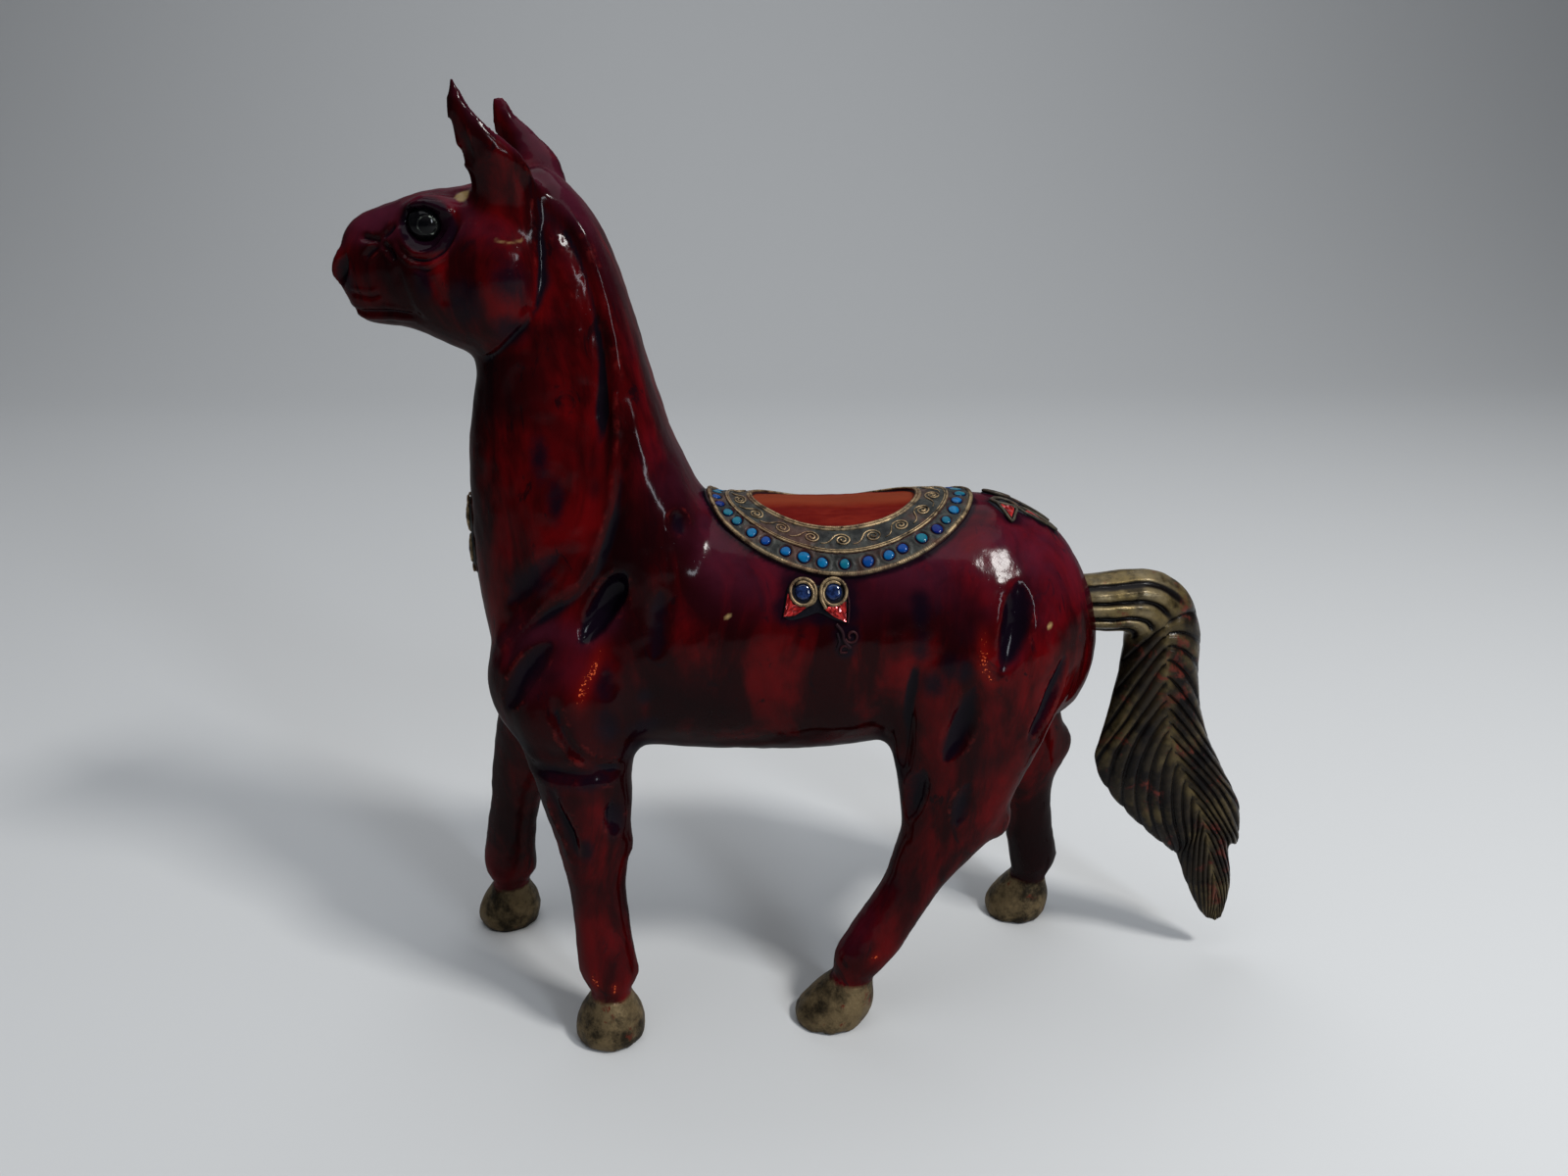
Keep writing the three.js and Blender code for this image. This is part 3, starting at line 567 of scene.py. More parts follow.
lacquerPaint = {
    "deep": (0.012, 0.0003, 0.0007), "red": (0.086, 0.001, 0.0018), "patch": (0.006, 0.0005, 0.001),
    "blot": (0.005, 0.001, 0.002), "paintedUnderShade": (0.009, 0.0005, 0.0008), "paintedSheen": (0.058, 0.008, 0.019),
    "hollow": (0.004, 0.0022, 0.0045), "rubbed": (0.16, 0.014, 0.012), "blackAndShade": (0.0035, 0.0015, 0.0045),
    "seatDark": (0.085, 0.0045, 0.0035), "seatRed": (0.145, 0.013, 0.007), "seatRidge": (0.17, 0.04, 0.018),
    "worn": (0.16, 0.004, 0.002), "speck": (0.62, 0.1, 0.03), "chip": (0.3, 0.2, 0.085),
    "giltDark": (0.022, 0.017, 0.011), "gilt": (0.16, 0.115, 0.06), "giltRed": (0.11, 0.025, 0.015),
}
lacquer, g = surface("red_lacquer")
streaky = g.noise(26, 5, 0.6, g.stretched(1.6, 1.6, 0.55), 0.6)
patches = g.ranged(g.noise(17, 3, 0.5, None, 0.4), 0.48, 0.66)
red = g.mixed(g.ranged(streaky, 0.4, 0.68), lacquerPaint["deep"], lacquerPaint["red"])
red = g.mixed(g.times(patches, 0.8), red, lacquerPaint["patch"])
blots = g.ranged(g.noise(60, 4, 0.65, g.stretched(1.2, 1.2, 0.6), 1.0), 0.6, 0.68)
red = g.mixed(g.times(blots, 0.8), red, lacquerPaint["blot"])
# painted shade: the faces turned downwards darkened
red = g.mixed(g.times(g.ranged(g.value("upward"), -0.1, -0.8), 0.75), red, lacquerPaint["paintedUnderShade"])
# painted sheen: upward faces lightened towards a wine-grey, standing in for the overhead light's reflection
paintedSheenMask = g.times(g.ranged(g.value("upward"), 0.12, 0.75), g.mottled(0.32, 0.62, 34, 4, 0.6, 0.4, 1.0))
red = g.mixed(g.times(paintedSheenMask, 0.7), red, lacquerPaint["paintedSheen"])
# painted shade: darker in the hollows
hollowShade = g.math("ADD", g.value("hollow"), g.times(g.math("SUBTRACT", streaky, 0.5), 0.9))
red = g.mixed(g.ranged(hollowShade, 0.25, 1.0), red, lacquerPaint["hollow"])
crestWorn = g.times(g.ranged(g.value("crest"), 0.12, 0.4), g.mottled(0.48, 0.66, 150, 5, 0.7))
red = g.mixed(g.times(crestWorn, 0.3), red, lacquerPaint["rubbed"])
# black lacquer, with painted shade in the deeper gouges, under the belly, in the nostril and under the
# cloth's edge
blackAndShadeMask = g.math("ADD", g.value("blackAndShade"), g.times(g.math("SUBTRACT", g.noise(55, 5, 0.7), 0.5), 1.3))
red = g.mixed(g.times(g.ranged(blackAndShadeMask, 0.15, 1.05), 0.94), red, lacquerPaint["blackAndShade"])
seatGrain = g.ranged(g.noise(90, 5, 0.65, g.stretched(0.35, 1.2, 1.0)), 0.35, 0.65)
seatRed = g.mixed(seatGrain, lacquerPaint["seatDark"], lacquerPaint["seatRed"])
seatRed = g.mixed(g.ranged(g.value("ridge"), 0.1, 1.0, 0, 0.6), seatRed, lacquerPaint["seatRidge"])
red = g.mixed(g.value("seat"), red, seatRed)
red = g.mixed(g.times(g.value("worn"), 0.5), red, lacquerPaint["worn"])
specks = g.math("ADD", g.noise(900, 3, 0.65, None, 0.3), g.times(g.value("worn"), 0.34))
red = g.mixed(g.ranged(specks, 0.87, 0.91), red, lacquerPaint["speck"])
red = g.mixed(g.value("chip"), red, lacquerPaint["chip"])
gilt = g.mixed(g.mottled(0.36, 0.62, 70, 5, 0.7), lacquerPaint["giltDark"], lacquerPaint["gilt"])
gilt = g.mixed(g.ranged(g.noise(120, 5, 0.7, None, 0.5), 0.6, 0.68), gilt, lacquerPaint["giltRed"])
base = g.mixed(g.value("hoof"), red, gilt)
dull = g.math("MAXIMUM", g.times(g.value("hoof"), 0.42), g.times(g.value("seat"), 0.4))
roughness = g.math("MAXIMUM", g.mottled(0.3, 0.7, 48, 4, 0.6, 0.13, 0.27), dull)
pits = g.made("TexVoronoi", Vector=g.coordinates, Scale=420).outputs["Distance"]
relief = g.bump(g.noise(42, 3, 0.5), 0.0007, 0.55)
relief = g.bump(g.noise(150, 3, 0.6, g.stretched(1.0, 1.0, 0.25)), 0.00022, 0.6, relief)
relief = g.bump(g.ranged(pits, 0.0, 0.16), 0.00012, 0.35, relief)
relief = g.bump(g.times(g.value("hoof"), g.noise(160, 5, 0.7)), 0.0012, 0.8, relief)
glossy = g.math("SUBTRACT", 0.17, g.times(dull, 0.36))
g.principled(Base_Color=base, Roughness=roughness, Normal=relief, Metallic=g.times(g.value("hoof"), 0.45),
             Coat_Weight=glossy, Coat_Roughness=0.13, Coat_Normal=relief, Specular_IOR_Level=0.0)
horse.data.materials.append(lacquer)
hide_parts("horse")
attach(horse, "root")
print("horse finished", flush=True)


class Gathered:
    # shaped parts that repeat or follow the skin, gathered as points and faces and then made one mesh
    def __init__(self):
        self.points = []
        self.faces = []
        self.tone = []
        self.rim = []
        self.count = 0

    def add(self, points, faces, tone=0.0, rim=0.0):
        points = np.asarray(points, float)
        self.points.append(points)
        self.faces.extend([tuple(int(i) + self.count for i in face) for face in faces])
        self.tone.append(np.broadcast_to(tone, (len(points),)).astype(float))
        self.rim.append(np.broadcast_to(rim, (len(points),)).astype(float))
        self.count += len(points)

    def made(self, name):
        piece = meshFrom(name, toMetres(np.vstack(self.points)).tolist(), self.faces)
        addValues(piece.data, "tone", np.concatenate(self.tone))
        addValues(piece.data, "rim", np.concatenate(self.rim))
        facingOut(piece)
        softShaded(piece)
        return piece


def gridFaces(rows, columns, rowsClosed, columnsClosed):
    faces = []
    for i in range(rows if rowsClosed else rows - 1):
        for j in range(columns if columnsClosed else columns - 1):
            below, beside = (i + 1) % rows * columns, (j + 1) % columns
            faces.append((i * columns + j, i * columns + beside, below + beside, below + j))
    return faces


def lengthsAlong(path):
    return np.concatenate([[0], np.cumsum(np.linalg.norm(np.diff(path, axis=0), axis=1))])


def wire(path, radius, sides, upward, closed=False, lobes=0, lobeDeep=0.0, twist=0.0, flat=1.0):
    # a wire along a path: radius may vary along it, and lobes wind round it as in a rope
    path = np.asarray(path, float)
    count = len(path)
    if closed:
        heading = np.roll(path, -1, 0) - np.roll(path, 1, 0)
    else:
        heading = np.gradient(path, axis=0)
    heading /= np.linalg.norm(heading, axis=1)[:, None]
    up = upward - np.sum(upward * heading, axis=1)[:, None] * heading
    up /= np.linalg.norm(up, axis=1)[:, None]
    across = np.cross(heading, up)
    angle = np.linspace(0, 2 * math.pi, sides, endpoint=False)
    run = lengthsAlong(path)
    turns = twist
    if closed and twist:  # a whole number of turns, so that the ends meet
        total = run[-1] + np.linalg.norm(path[0] - path[-1])
        turns = max(round(total * twist), 1) / total
    swell = 1 + lobeDeep * np.cos(lobes * (angle[None, :] - 2 * math.pi * turns * run[:, None]))
    size = np.broadcast_to(np.asarray(radius, float), (count,))[:, None] * swell
    ring = size[..., None] * (np.cos(angle)[None, :, None] * across[:, None, :]
                              + flat * np.sin(angle)[None, :, None] * up[:, None, :])
    points = (path[:, None, :] + ring).reshape(-1, 3)
    faces = gridFaces(count, sides, closed, True)
    if not closed:
        faces.append(tuple(range(sides))[::-1])
        faces.append(tuple(range((count - 1) * sides, count * sides)))
    return points, faces


# The skin of the back as a net of places, on which the cloth and the ornaments lie. A row of the trunk is
# its place, the height of its middle, and how tall and wide it is from there.
trunkRows = [(-76, 178, 50, 44), (-52, 181.5, 55.5, 46), (-20, 181.5, 58, 47), (20, 181, 57.5, 48),
             (58, 184.5, 55, 48.5), (88, 185, 54, 48), (108, 181, 50, 43), (124, 177, 41, 34)]
trunkLine = curveThrough(trunkRows, 300)
skinTree = BVHTree.FromPolygons([tuple(p) for p in points], [tuple(f.vertices) for f in horse.data.polygons])
netStep = 3.0
netX = np.arange(-58, 122, netStep)
netReach = np.arange(-78, 78.1, netStep)
netPoints = np.zeros((len(netX), len(netReach), 3))
for i, x in enumerate(netX):
    middleZ, tall, wide = [np.interp(x, trunkLine[:, 0], trunkLine[:, k]) for k in (1, 2, 3)]
    for j, reach in enumerate(netReach):
        angle = 2 * reach / (tall + wide)
        way = Vector((0, wide * math.sin(angle), tall * math.cos(angle))).normalized()
        outside = Vector((x, 0, middleZ)) + 120 * way
        hit = skinTree.ray_cast(outside, -way)[0]
        netPoints[i, j] = hit if hit is not None else outside
for _ in range(2):
    netPoints[1:-1, 1:-1] = 0.5 * netPoints[1:-1, 1:-1] + 0.125 * (
        netPoints[2:, 1:-1] + netPoints[:-2, 1:-1] + netPoints[1:-1, 2:] + netPoints[1:-1, :-2])
netNormals = np.cross(np.gradient(netPoints, axis=0), np.gradient(netPoints, axis=1))
netNormals /= -np.linalg.norm(netNormals, axis=2)[..., None]
if netNormals[len(netX) // 2, len(netReach) // 2, 2] < 0:
    netNormals = -netNormals


def fromNet(net, x, reach):
    i = np.clip((np.asarray(x, float) - netX[0]) / netStep, 0, len(netX) - 1.001)
    j = np.clip((np.asarray(reach, float) - netReach[0]) / netStep, 0, len(netReach) - 1.001)
    low, left = i.astype(int), j.astype(int)
    s, t = (i - low)[..., None], (j - left)[..., None]
    upper = net[low, left] * (1 - t) + net[low, left + 1] * t
    lower = net[low + 1, left] * (1 - t) + net[low + 1, left + 1] * t
    return upper * (1 - s) + lower * s


def onSkin(x, reach, rise=0.0):
    # the place at x and at a reach down the flank from the ridge, and the way outwards there
    out = fromNet(netNormals, x, reach)
    out /= np.linalg.norm(out, axis=-1)[..., None]
    return fromNet(netPoints, x, reach) + np.asarray(rise, float)[..., None] * out, out


# Saddle cloth

clothShape = {
    "front": -33.7, "length": 114, "reach": 49, "seatLength": 69.5, "seatReach": 26.5, "seatAhead": 2.3,
    "plate": 1.5, "columns": 620, "rows": 34, "discCount": 38, "discRadius": 2.5, "discShare": 0.75,
    "wireShare": 0.55, "scrollShare": 0.3, "scrollPitch": 12.4, "scrollWire": 0.36, "scrollPoints": 64,
}
# share from the seat's edge to the cloth's, radius, rise over the skin and turns in each millimetre
clothRopes = ((0.952, 0.85, 1.5, 0.5), (0.03, 0.62, 1.45, 0.6), (0.085, 0.62, 1.4, 0.001))
clothMiddle = clothShape["front"] + clothShape["length"] / 2


def onCloth(turn, place, rise=0.0):
    # a place on the cloth: its turn round the ring, and its share from the seat's edge to the outer one
    angle = 2 * math.pi * np.asarray(turn, float)
    along = (clothShape["seatLength"] * (1 - place) + clothShape["length"] * place) / 2
    down = clothShape["seatReach"] * (1 - place) + clothShape["reach"] * place
    middle = clothMiddle - clothShape["seatAhead"] * (1 - place)
    return onSkin(middle + along * np.cos(angle), down * np.sin(angle), rise)


def clothRun(place):
    dense = np.linspace(0, 1, 721)
    return dense, lengthsAlong(onCloth(dense, place)[0])


def clothPath(place, count, rise):
    # evenly spaced places once round the cloth
    dense, run = clothRun(place)
    turn = np.interp(np.linspace(0, run[-1], count, endpoint=False), run, dense)
    return onCloth(turn, place, rise)


cloth = Gathered()
columns = clothShape["columns"]
turn = np.linspace(0, 1, columns, endpoint=False)
turnGrid, placeGrid = np.meshgrid(turn, np.linspace(0, 1, clothShape["rows"]), indexing="ij")
height = clothShape["plate"] * fade(np.minimum(placeGrid, 1 - placeGrid), -0.01, 0.04)
trough = np.exp(-(((placeGrid - clothShape["discShare"]) / 0.16) ** 4))
wireGroove = np.exp(-(((placeGrid - clothShape["wireShare"] - 0.035) / 0.012) ** 2))
height -= 0.25 * trough + 0.4 * wireGroove
flatPoints = onCloth(turnGrid, placeGrid, height)[0].reshape(-1, 3)
lumps = 0.22 * roughField(flatPoints, 0.5, 4) + 0.16 * roughField(flatPoints, 1.2, 5)
height += lumps.reshape(height.shape)
discNumbers = np.arange(clothShape["discCount"])
stray = np.array([[noise.noise(Vector((k * 2.3, 7.1 * j, 0.4))) for k in discNumbers.tolist()]
                  for j in (1, 2, 3)])  # along the row, across it, and in size
discTurns = (discNumbers + 0.5 + 0.24 * stray[0]) / clothShape["discCount"]
discPlaces, discOut = onCloth(discTurns, clothShape["discShare"] + 0.05 * stray[1], 1.1)
discSizes = clothShape["discRadius"] * (0.98 + 0.3 * stray[2])
gaps = np.linalg.norm(flatPoints[:, None, :] - discPlaces[None], axis=2) - discSizes[None]
gap = gaps.min(1).reshape(height.shape)
height += 0.35 * np.exp(-(((gap - 1.1) / 0.5) ** 2)) - 0.6 * (1 - fade(gap, -0.3, 0.55))
plateTone = -0.85 * (1 - fade(gap, 0.0, 0.7)) - 0.9 * wireGroove
plateTone = np.minimum(plateTone, -1.0 * fade(placeGrid, 0.972, 0.99))
plateTone = np.minimum(plateTone, -0.8 * fade(-placeGrid, -0.02, -0.008))
copperBand = np.exp(-(((placeGrid - 0.915) / 0.03) ** 2)) * 0.28
plateTone = np.where(plateTone < -0.05, plateTone, plateTone + copperBand)
topPoints = onCloth(turnGrid, placeGrid, height)[0]
skirt = onCloth(turn, 1.012, -0.6)[0]
hem = onCloth(turn, -0.01, -0.6)[0]
layers = np.concatenate([hem[:, None], topPoints, skirt[:, None]], axis=1)
ends = np.full((columns, 1), -1.0)
cloth.add(layers.reshape(-1, 3), gridFaces(columns, clothShape["rows"] + 2, True, True),
          np.concatenate([ends, plateTone, ends], axis=1).ravel())
for place, radius, rise, twist in clothRopes:
    path, out = clothPath(place, 900, rise)
    rubbed = 0.75 + 0.5 * roughField(path, 0.12, 6)
    cloth.add(*wire(path, radius, 12, out, True, 2, 0.16, twist, 0.85), np.repeat(rubbed, 12))
for place, radius in ((clothShape["wireShare"], 0.5), (clothShape["wireShare"] - 0.042, 0.3)):
    path, out = clothPath(place, 420, 1.6)
    cloth.add(*wire(path, radius, 8, out, True), 1.0)

# running scrolls, each a wave that curls in on itself
scrollLine = [
    (-8.6, -2.9), (-6.9, -2.6), (-5.3, -1.4), (-4.0, 0.4), (-2.7, 2.1), (-0.6, 3.0), (1.5, 2.5), (2.9, 0.8),
    (2.7, -1.1), (1.2, -2.5), (-0.7, -2.5), (-2.0, -1.2), (-1.8, 0.5), (-0.4, 1.6), (1.0, 1.1),
    (1.5, -0.2), (0.7, -1.2), (-0.4, -0.9), (-0.5, 0.1),
]
dense, run = clothRun(clothShape["scrollShare"])
scrollCount = round(run[-1] / clothShape["scrollPitch"])
scrollPoints = clothShape["scrollPoints"]
shapeLine = curveThrough(scrollLine, scrollPoints)
thin = clothShape["scrollWire"] * np.interp(np.arange(scrollPoints), [0, 8, 50, 63], [0.55, 1, 1, 1.5])
for k in range(scrollCount):
    wander = noise.noise(Vector((k * 3.1, 0.5, 0))) * 0.3
    centre = (k + 0.5) * run[-1] / scrollCount
    u = centre + shapeLine[:, 0] * 1.02 * (1 + 0.3 * wander)
    turns = np.interp(u % run[-1], run, dense)
    bandWidth = 23 + 4 * np.abs(np.sin(2 * math.pi * turns))
    acrossBand = clothShape["scrollShare"] - (shapeLine[:, 1] * 0.95 + wander) / bandWidth
    path, out = onCloth(turns, acrossBand, 1.65)
    cloth.add(*wire(path, thin, 6, out), 1.0)
saddle = cloth.made("saddle_cloth_relief")
print("saddle cloth", len(saddle.data.polygons), flush=True)

# Glass discs: a tint from 0, deep blue, to 4, green blue, for each of a flank's discs. The right flank has
# the same tints in another order.
tintRow = [1, 0, 4, 4, 3, 1, 2, 3, 3, 4, 1, 2, 1, 4, 0, 4, 3, 2, 4]
tints = [tintRow[(7 * i + 3) % 19] for i in range(19)] + tintRow
discs = Gathered()
# the dome's rings from its top down: share of the radius, and rise
discRings = [(0.0, 0.72), (0.35, 0.7), (0.62, 0.62), (0.8, 0.5), (0.93, 0.28), (1.0, -0.1), (0.98, -1.3)]
sides = 22
angle = np.linspace(0, 2 * math.pi, sides, endpoint=False)
for k in range(clothShape["discCount"]):
    size = discSizes[k]
    centre, out = discPlaces[k], discOut[k]
    side = np.cross(out, [0, 0, 1])
    side /= np.linalg.norm(side)
    other = np.cross(out, side)
    lean = 0.06 * noise.noise(Vector((k * 1.9, 8.2, 3)))
    wobble = 1 + 0.05 * np.cos(2 * angle + k) + 0.03 * np.cos(3 * angle + 2 * k)
    outline = size * wobble[:, None] * (np.cos(angle)[:, None] * side + np.sin(angle)[:, None] * other)
    ring = [centre[None] + discRings[0][1] * out]
    for radius, rise in discRings[1:]:
        ring.append(centre + radius * outline + (rise + lean * np.cos(angle))[:, None] * out)
    faces = [(0, 1 + i, 1 + (i + 1) % sides) for i in range(sides)]
    body = gridFaces(len(discRings) - 1, sides, False, True)
    faces += [tuple(i + 1 for i in face) for face in body]
    faces.append(tuple(range(1 + sides * (len(discRings) - 2), 1 + sides * (len(discRings) - 1))))
    rim = np.concatenate([[0], np.repeat([radius for radius, rise in discRings[1:]], sides)])
    discs.add(np.vstack(ring), faces, tints[k] / 4, rim)
glassDiscs = discs.made("glass_discs")
print("discs", len(glassDiscs.data.polygons), flush=True)

# Tail: rows down it, each x and z of the front edge, of the rib and of the back edge, and half its thickness
tailRows = [
    (126, 176, 124, 188, 122, 200, 12), (142, 174.7, 139.5, 188, 138, 201.2, 13),
    (152.7, 173.9, 158, 188, 163, 202.7, 12.5), (153.5, 169, 166.7, 181.4, 180, 192.4, 11.5),
    (152.8, 155.5, 169.3, 173.5, 188.2, 173.1, 10.5), (150.8, 140.6, 170.8, 162.5, 189.5, 157.2, 10),
    (147.8, 122.9, 172.7, 147.6, 192.6, 137.1, 9.5), (145.6, 108.7, 175.1, 135, 199, 118.9, 9),
    (152.4, 93.9, 177.9, 122.1, 209.1, 100.3, 8.5), (162.6, 81.5, 184.3, 107.6, 218, 83.9, 8),
    (175.4, 68.8, 192, 92.7, 220.4, 68.7, 7.5), (187.5, 58.7, 198.5, 79, 220.4, 61.1, 7),
    (190.9, 55.8, 202.3, 67.9, 216.4, 59.1, 6.5), (196.9, 41.5, 207.7, 49.6, 219.6, 41.4, 5.5),
    (205.1, 25.3, 212.4, 32.3, 219.3, 27.7, 4), (210.4, 18.6, 214.2, 18, 217.9, 19, 1.8),
]
tailShape = {
    "rings": 400, "columns": 60, "locks": 25, "lockDeep": 2.3, "hairDeep": 0.16, "stubEnd": 0.2,
    "notch": 0.028, "sag": 1.6, "backEnd": 220.6,
}
rows = curveThrough(tailRows, tailShape["rings"])
t = np.linspace(0, 1, tailShape["rings"])
out = np.linspace(0, 1, tailShape["columns"])  # from the rib to an edge
tailPoints, grooves, ribs, stubs = [], [], [], []
isStub = 1 - fade(t, tailShape["stubEnd"] - 0.03, tailShape["stubEnd"] + 0.035)
# a side of the tail and one of its edges, in their order round a ring
for sideWay, edgeWay in ((-1, 0), (-1, 1), (1, 1), (1, 0)):
    edgeLine = rows[:, [0, 1]] if edgeWay == 0 else rows[:, [4, 5]]
    ribLine = rows[:, [2, 3]]
    columnsHere = out[::-1] if (sideWay < 0) == (edgeWay == 0) else out
    for w in columnsHere[:-1]:
        # locks slant down from the rib, more so towards the tip
        steep = np.interp(t, [0.18, 0.3, 0.5, 0.75, 1], [0.01, 0.05, 0.13, 0.2, 0.2])
        steep *= 1.1 if edgeWay == 0 else 0.85
        phase = tailShape["locks"] * (t - steep * w**1.15) ** 0.92
        phase += 0.22 * math.sin(2.1 * edgeWay + 1.3 * sideWay) + 0.16 * np.sin(9 * t + 2 * edgeWay)
        inLock = phase - np.floor(phase)
        lock = 1 - np.abs(2 * inLock - 1) ** 3 * (0.9 + 0.1 * w)
        hair = 0.5 + 0.5 * np.cos(2 * math.pi * phase * 2 + 1.4 * np.sin(5 * w))
        # lengthwise strands on the stub
        strand = 0.5 + 0.5 * np.cos(2 * math.pi * (2.1 * w + 0.22 * math.sin(edgeWay + sideWay) + 0.25 * t))
        strand = 1 - (1 - strand) ** 2.2
        rise = strand * isStub + lock * (1 - isStub)
        fromRib = fade(np.full(len(t), w), 0.0, 0.09) * (1 - isStub) + isStub
        deep = tailShape["lockDeep"] * np.interp(t, [0, 0.2, 0.75, 1], [1, 1, 0.85, 0.3])
        deep *= 0.25 + 0.75 * fromRib
        lockCut = (1 - rise) * deep * math.sqrt(1 - w**6)
        hairCut = tailShape["hairDeep"] * (1 - hair) * (1 - isStub)
        half = np.maximum(rows[:, 6] * (1 - w**3) ** 0.7 - lockCut - hairCut, 0)
        pull = tailShape["notch"] * (1 - rise) * w**5 * (1 - isStub)
        place = ribLine + (edgeLine - ribLine) * (w * (1 - pull))[:, None]
        sag = tailShape["sag"] * 4 * w * (1 - w) * (1 - isStub) * np.interp(t, [0, 1], [1, 0.4])
        tailPoints.append(np.stack([place[:, 0], sideWay * half, place[:, 1] + sag], axis=1))
        grooves.append(1 - rise)
        ribs.append(np.full(len(t), math.exp(-((w / 0.12) ** 2))))
        stubs.append(isStub)
tailPoints = np.stack(tailPoints, axis=1)
columnCount = tailPoints.shape[1]
faces = gridFaces(tailShape["rings"], columnCount, False, True)
faces.append(tuple(range(columnCount))[::-1])
last = (tailShape["rings"] - 1) * columnCount
faces.append(tuple(range(last, last + columnCount)))
flatTail = tailPoints.reshape(-1, 3)
flatTail[:, 1] += 0.3 * roughField(flatTail, 0.09, 7)
flatTail[:, 2] += 0.35 * roughField(flatTail, 0.16, 8)
flatTail[:, 0] = np.minimum(flatTail[:, 0], tailShape["backEnd"])
tail = meshFrom("carved_tail", toMetres(flatTail).tolist(), faces)
for name, values in (("groove", grooves), ("rib", ribs), ("stub", stubs)):
    addValues(tail.data, name, np.stack(values, axis=1).ravel())
facingOut(tail)
softShaded(tail)
print("tail", len(tail.data.polygons), flush=True)

# Eyes
eyeShape = {"radius": 7.2, "place": (-134.5, 16, 350.5), "flat": 0.94}
eyes = []
for flank, name in flanks:
    x, y, z = eyeShape["place"]
    bpy.ops.object.select_all(action="DESELECT")
    bpy.ops.mesh.primitive_uv_sphere_add(segments=64, ring_count=40, radius=eyeShape["radius"] * share,
                                         location=(0, 0, 0))
    eye = bpy.context.active_object
    eye.name = name + "_eye_bead"
    only(eye)
    bpy.ops.object.mode_set(mode="EDIT")
    bpy.ops.mesh.select_all(action="SELECT")
    bpy.ops.transform.rotate(value=math.radians(90), orient_axis="X", center_override=(0, 0, 0))
    bpy.ops.transform.resize(value=(1, eyeShape["flat"], 1))
    bpy.ops.transform.translate(value=spot(x, flank * y, z))
    bpy.ops.object.mode_set(mode="OBJECT")
    softShaded(eye)
    eyes.append(eye)
print("eyes", flush=True)

# Ornaments

bowShape = {
    "ahead": 11.7, "reach": 58.9, "outer": 5.1, "inner": 3.75, "wire": 0.62, "stone": 3.3, "apart": 6.1,
    "lift": 4.2,
}
croupShape = {"behind": 12.2, "reach": 12.6, "padRise": 0.75}
chestShape = {"height": 224, "stone": 4.0, "frame": 4.9}


def flankPlace(x, reach, flank):
    # places beside a point of the back: u towards the tail, v up towards the ridge
    def place(u, v, rise):
        return onSkin(x + np.asarray(u, float), flank * (reach - np.asarray(v, float)), rise)
    return place


def chestPlace(u, v, rise):
    # places on the breast: u towards the right, v up
    u, v = np.broadcast_arrays(np.asarray(u, float), np.asarray(v, float))
    found, outward = [], []
    for side, up in zip(u.ravel(), v.ravel()):
        ahead = Vector((-190, side, chestShape["height"] + up))
        found.append(skinTree.ray_cast(ahead, Vector((1, 0, 0)))[0])
        outward.append(Vector((-1, 0.035 * side, 0.02)).normalized())
    found = np.array(found).reshape(*u.shape, 3)
    outward = np.array(outward).reshape(*u.shape, 3)
    return found + np.asarray(rise, float)[..., None] * outward, outward


def addPad(gathered, place, outline, low, high, tone=0.0):
    # a low mound of lacquer under an ornament, its outline given round its middle
    outline = np.array(outline, float)
    middle = outline.mean(0)
    sides = 60
    rim = curveThrough(np.vstack([outline, outline[:1]]), sides + 1)[:-1]
    rings = []
    shares = [1.0, 0.97, 0.9, 0.78, 0.6, 0.4, 0.2]
    for part in shares:
        level = low + (high - low) * min(1.0, (1 - part) / 0.14) ** 0.6
        flat = middle + (rim - middle) * part
        bumps = 0.12 * np.array([noise.noise(Vector((p[0] * 0.6, p[1] * 0.6, 3.3))) for p in flat])
        rings.append(place(flat[:, 0], flat[:, 1], level + bumps)[0])
    centre = place(middle[:1], middle[1:], np.array([high]))[0]
    body = np.vstack([np.vstack(rings), centre])
    faces = gridFaces(len(shares), sides, False, True)
    top = sides * (len(shares) - 1)
    faces += [(top + i, top + (i + 1) % sides, len(body) - 1) for i in range(sides)]
    faces.append(tuple(range(sides))[::-1])
    gathered.add(body, faces, tone)


def addStone(gathered, place, middle, radius, low, high, tone=0.0, lozenge=False):
    # a domed stone, round or a lozenge
    sides = 28
    angle = np.linspace(0, 2 * math.pi, sides, endpoint=False)
    shape = np.ones(sides)
    if lozenge:
        shape = 1 / np.maximum(np.abs(np.cos(angle)) + np.abs(np.sin(angle)), 1) ** 0.9
    rings = []
    domeRings = ((1.0, -1.0), (1.0, 0.25), (0.93, 0.62), (0.75, 0.85), (0.5, 0.96), (0.25, 1.0))
    for part, rise in domeRings:
        u = middle[0] + part * radius * shape * np.cos(angle)
        v = middle[1] + part * radius * shape * np.sin(angle) * (1.25 if lozenge else 1)
        level = low if rise < 0 else low + (high - low) * rise
        rings.append(place(u, v, np.full(sides, level))[0])
    centre = place(np.array([middle[0]]), np.array([middle[1]]), np.array([high + 0.02]))[0]
    body = np.vstack([np.vstack(rings), centre])
    faces = gridFaces(len(domeRings), sides, False, True)
    top = sides * (len(domeRings) - 1)
    faces += [(top + i, top + (i + 1) % sides, len(body) - 1) for i in range(sides)]
    faces.append(tuple(range(sides))[::-1])
    gathered.add(body, faces, tone)


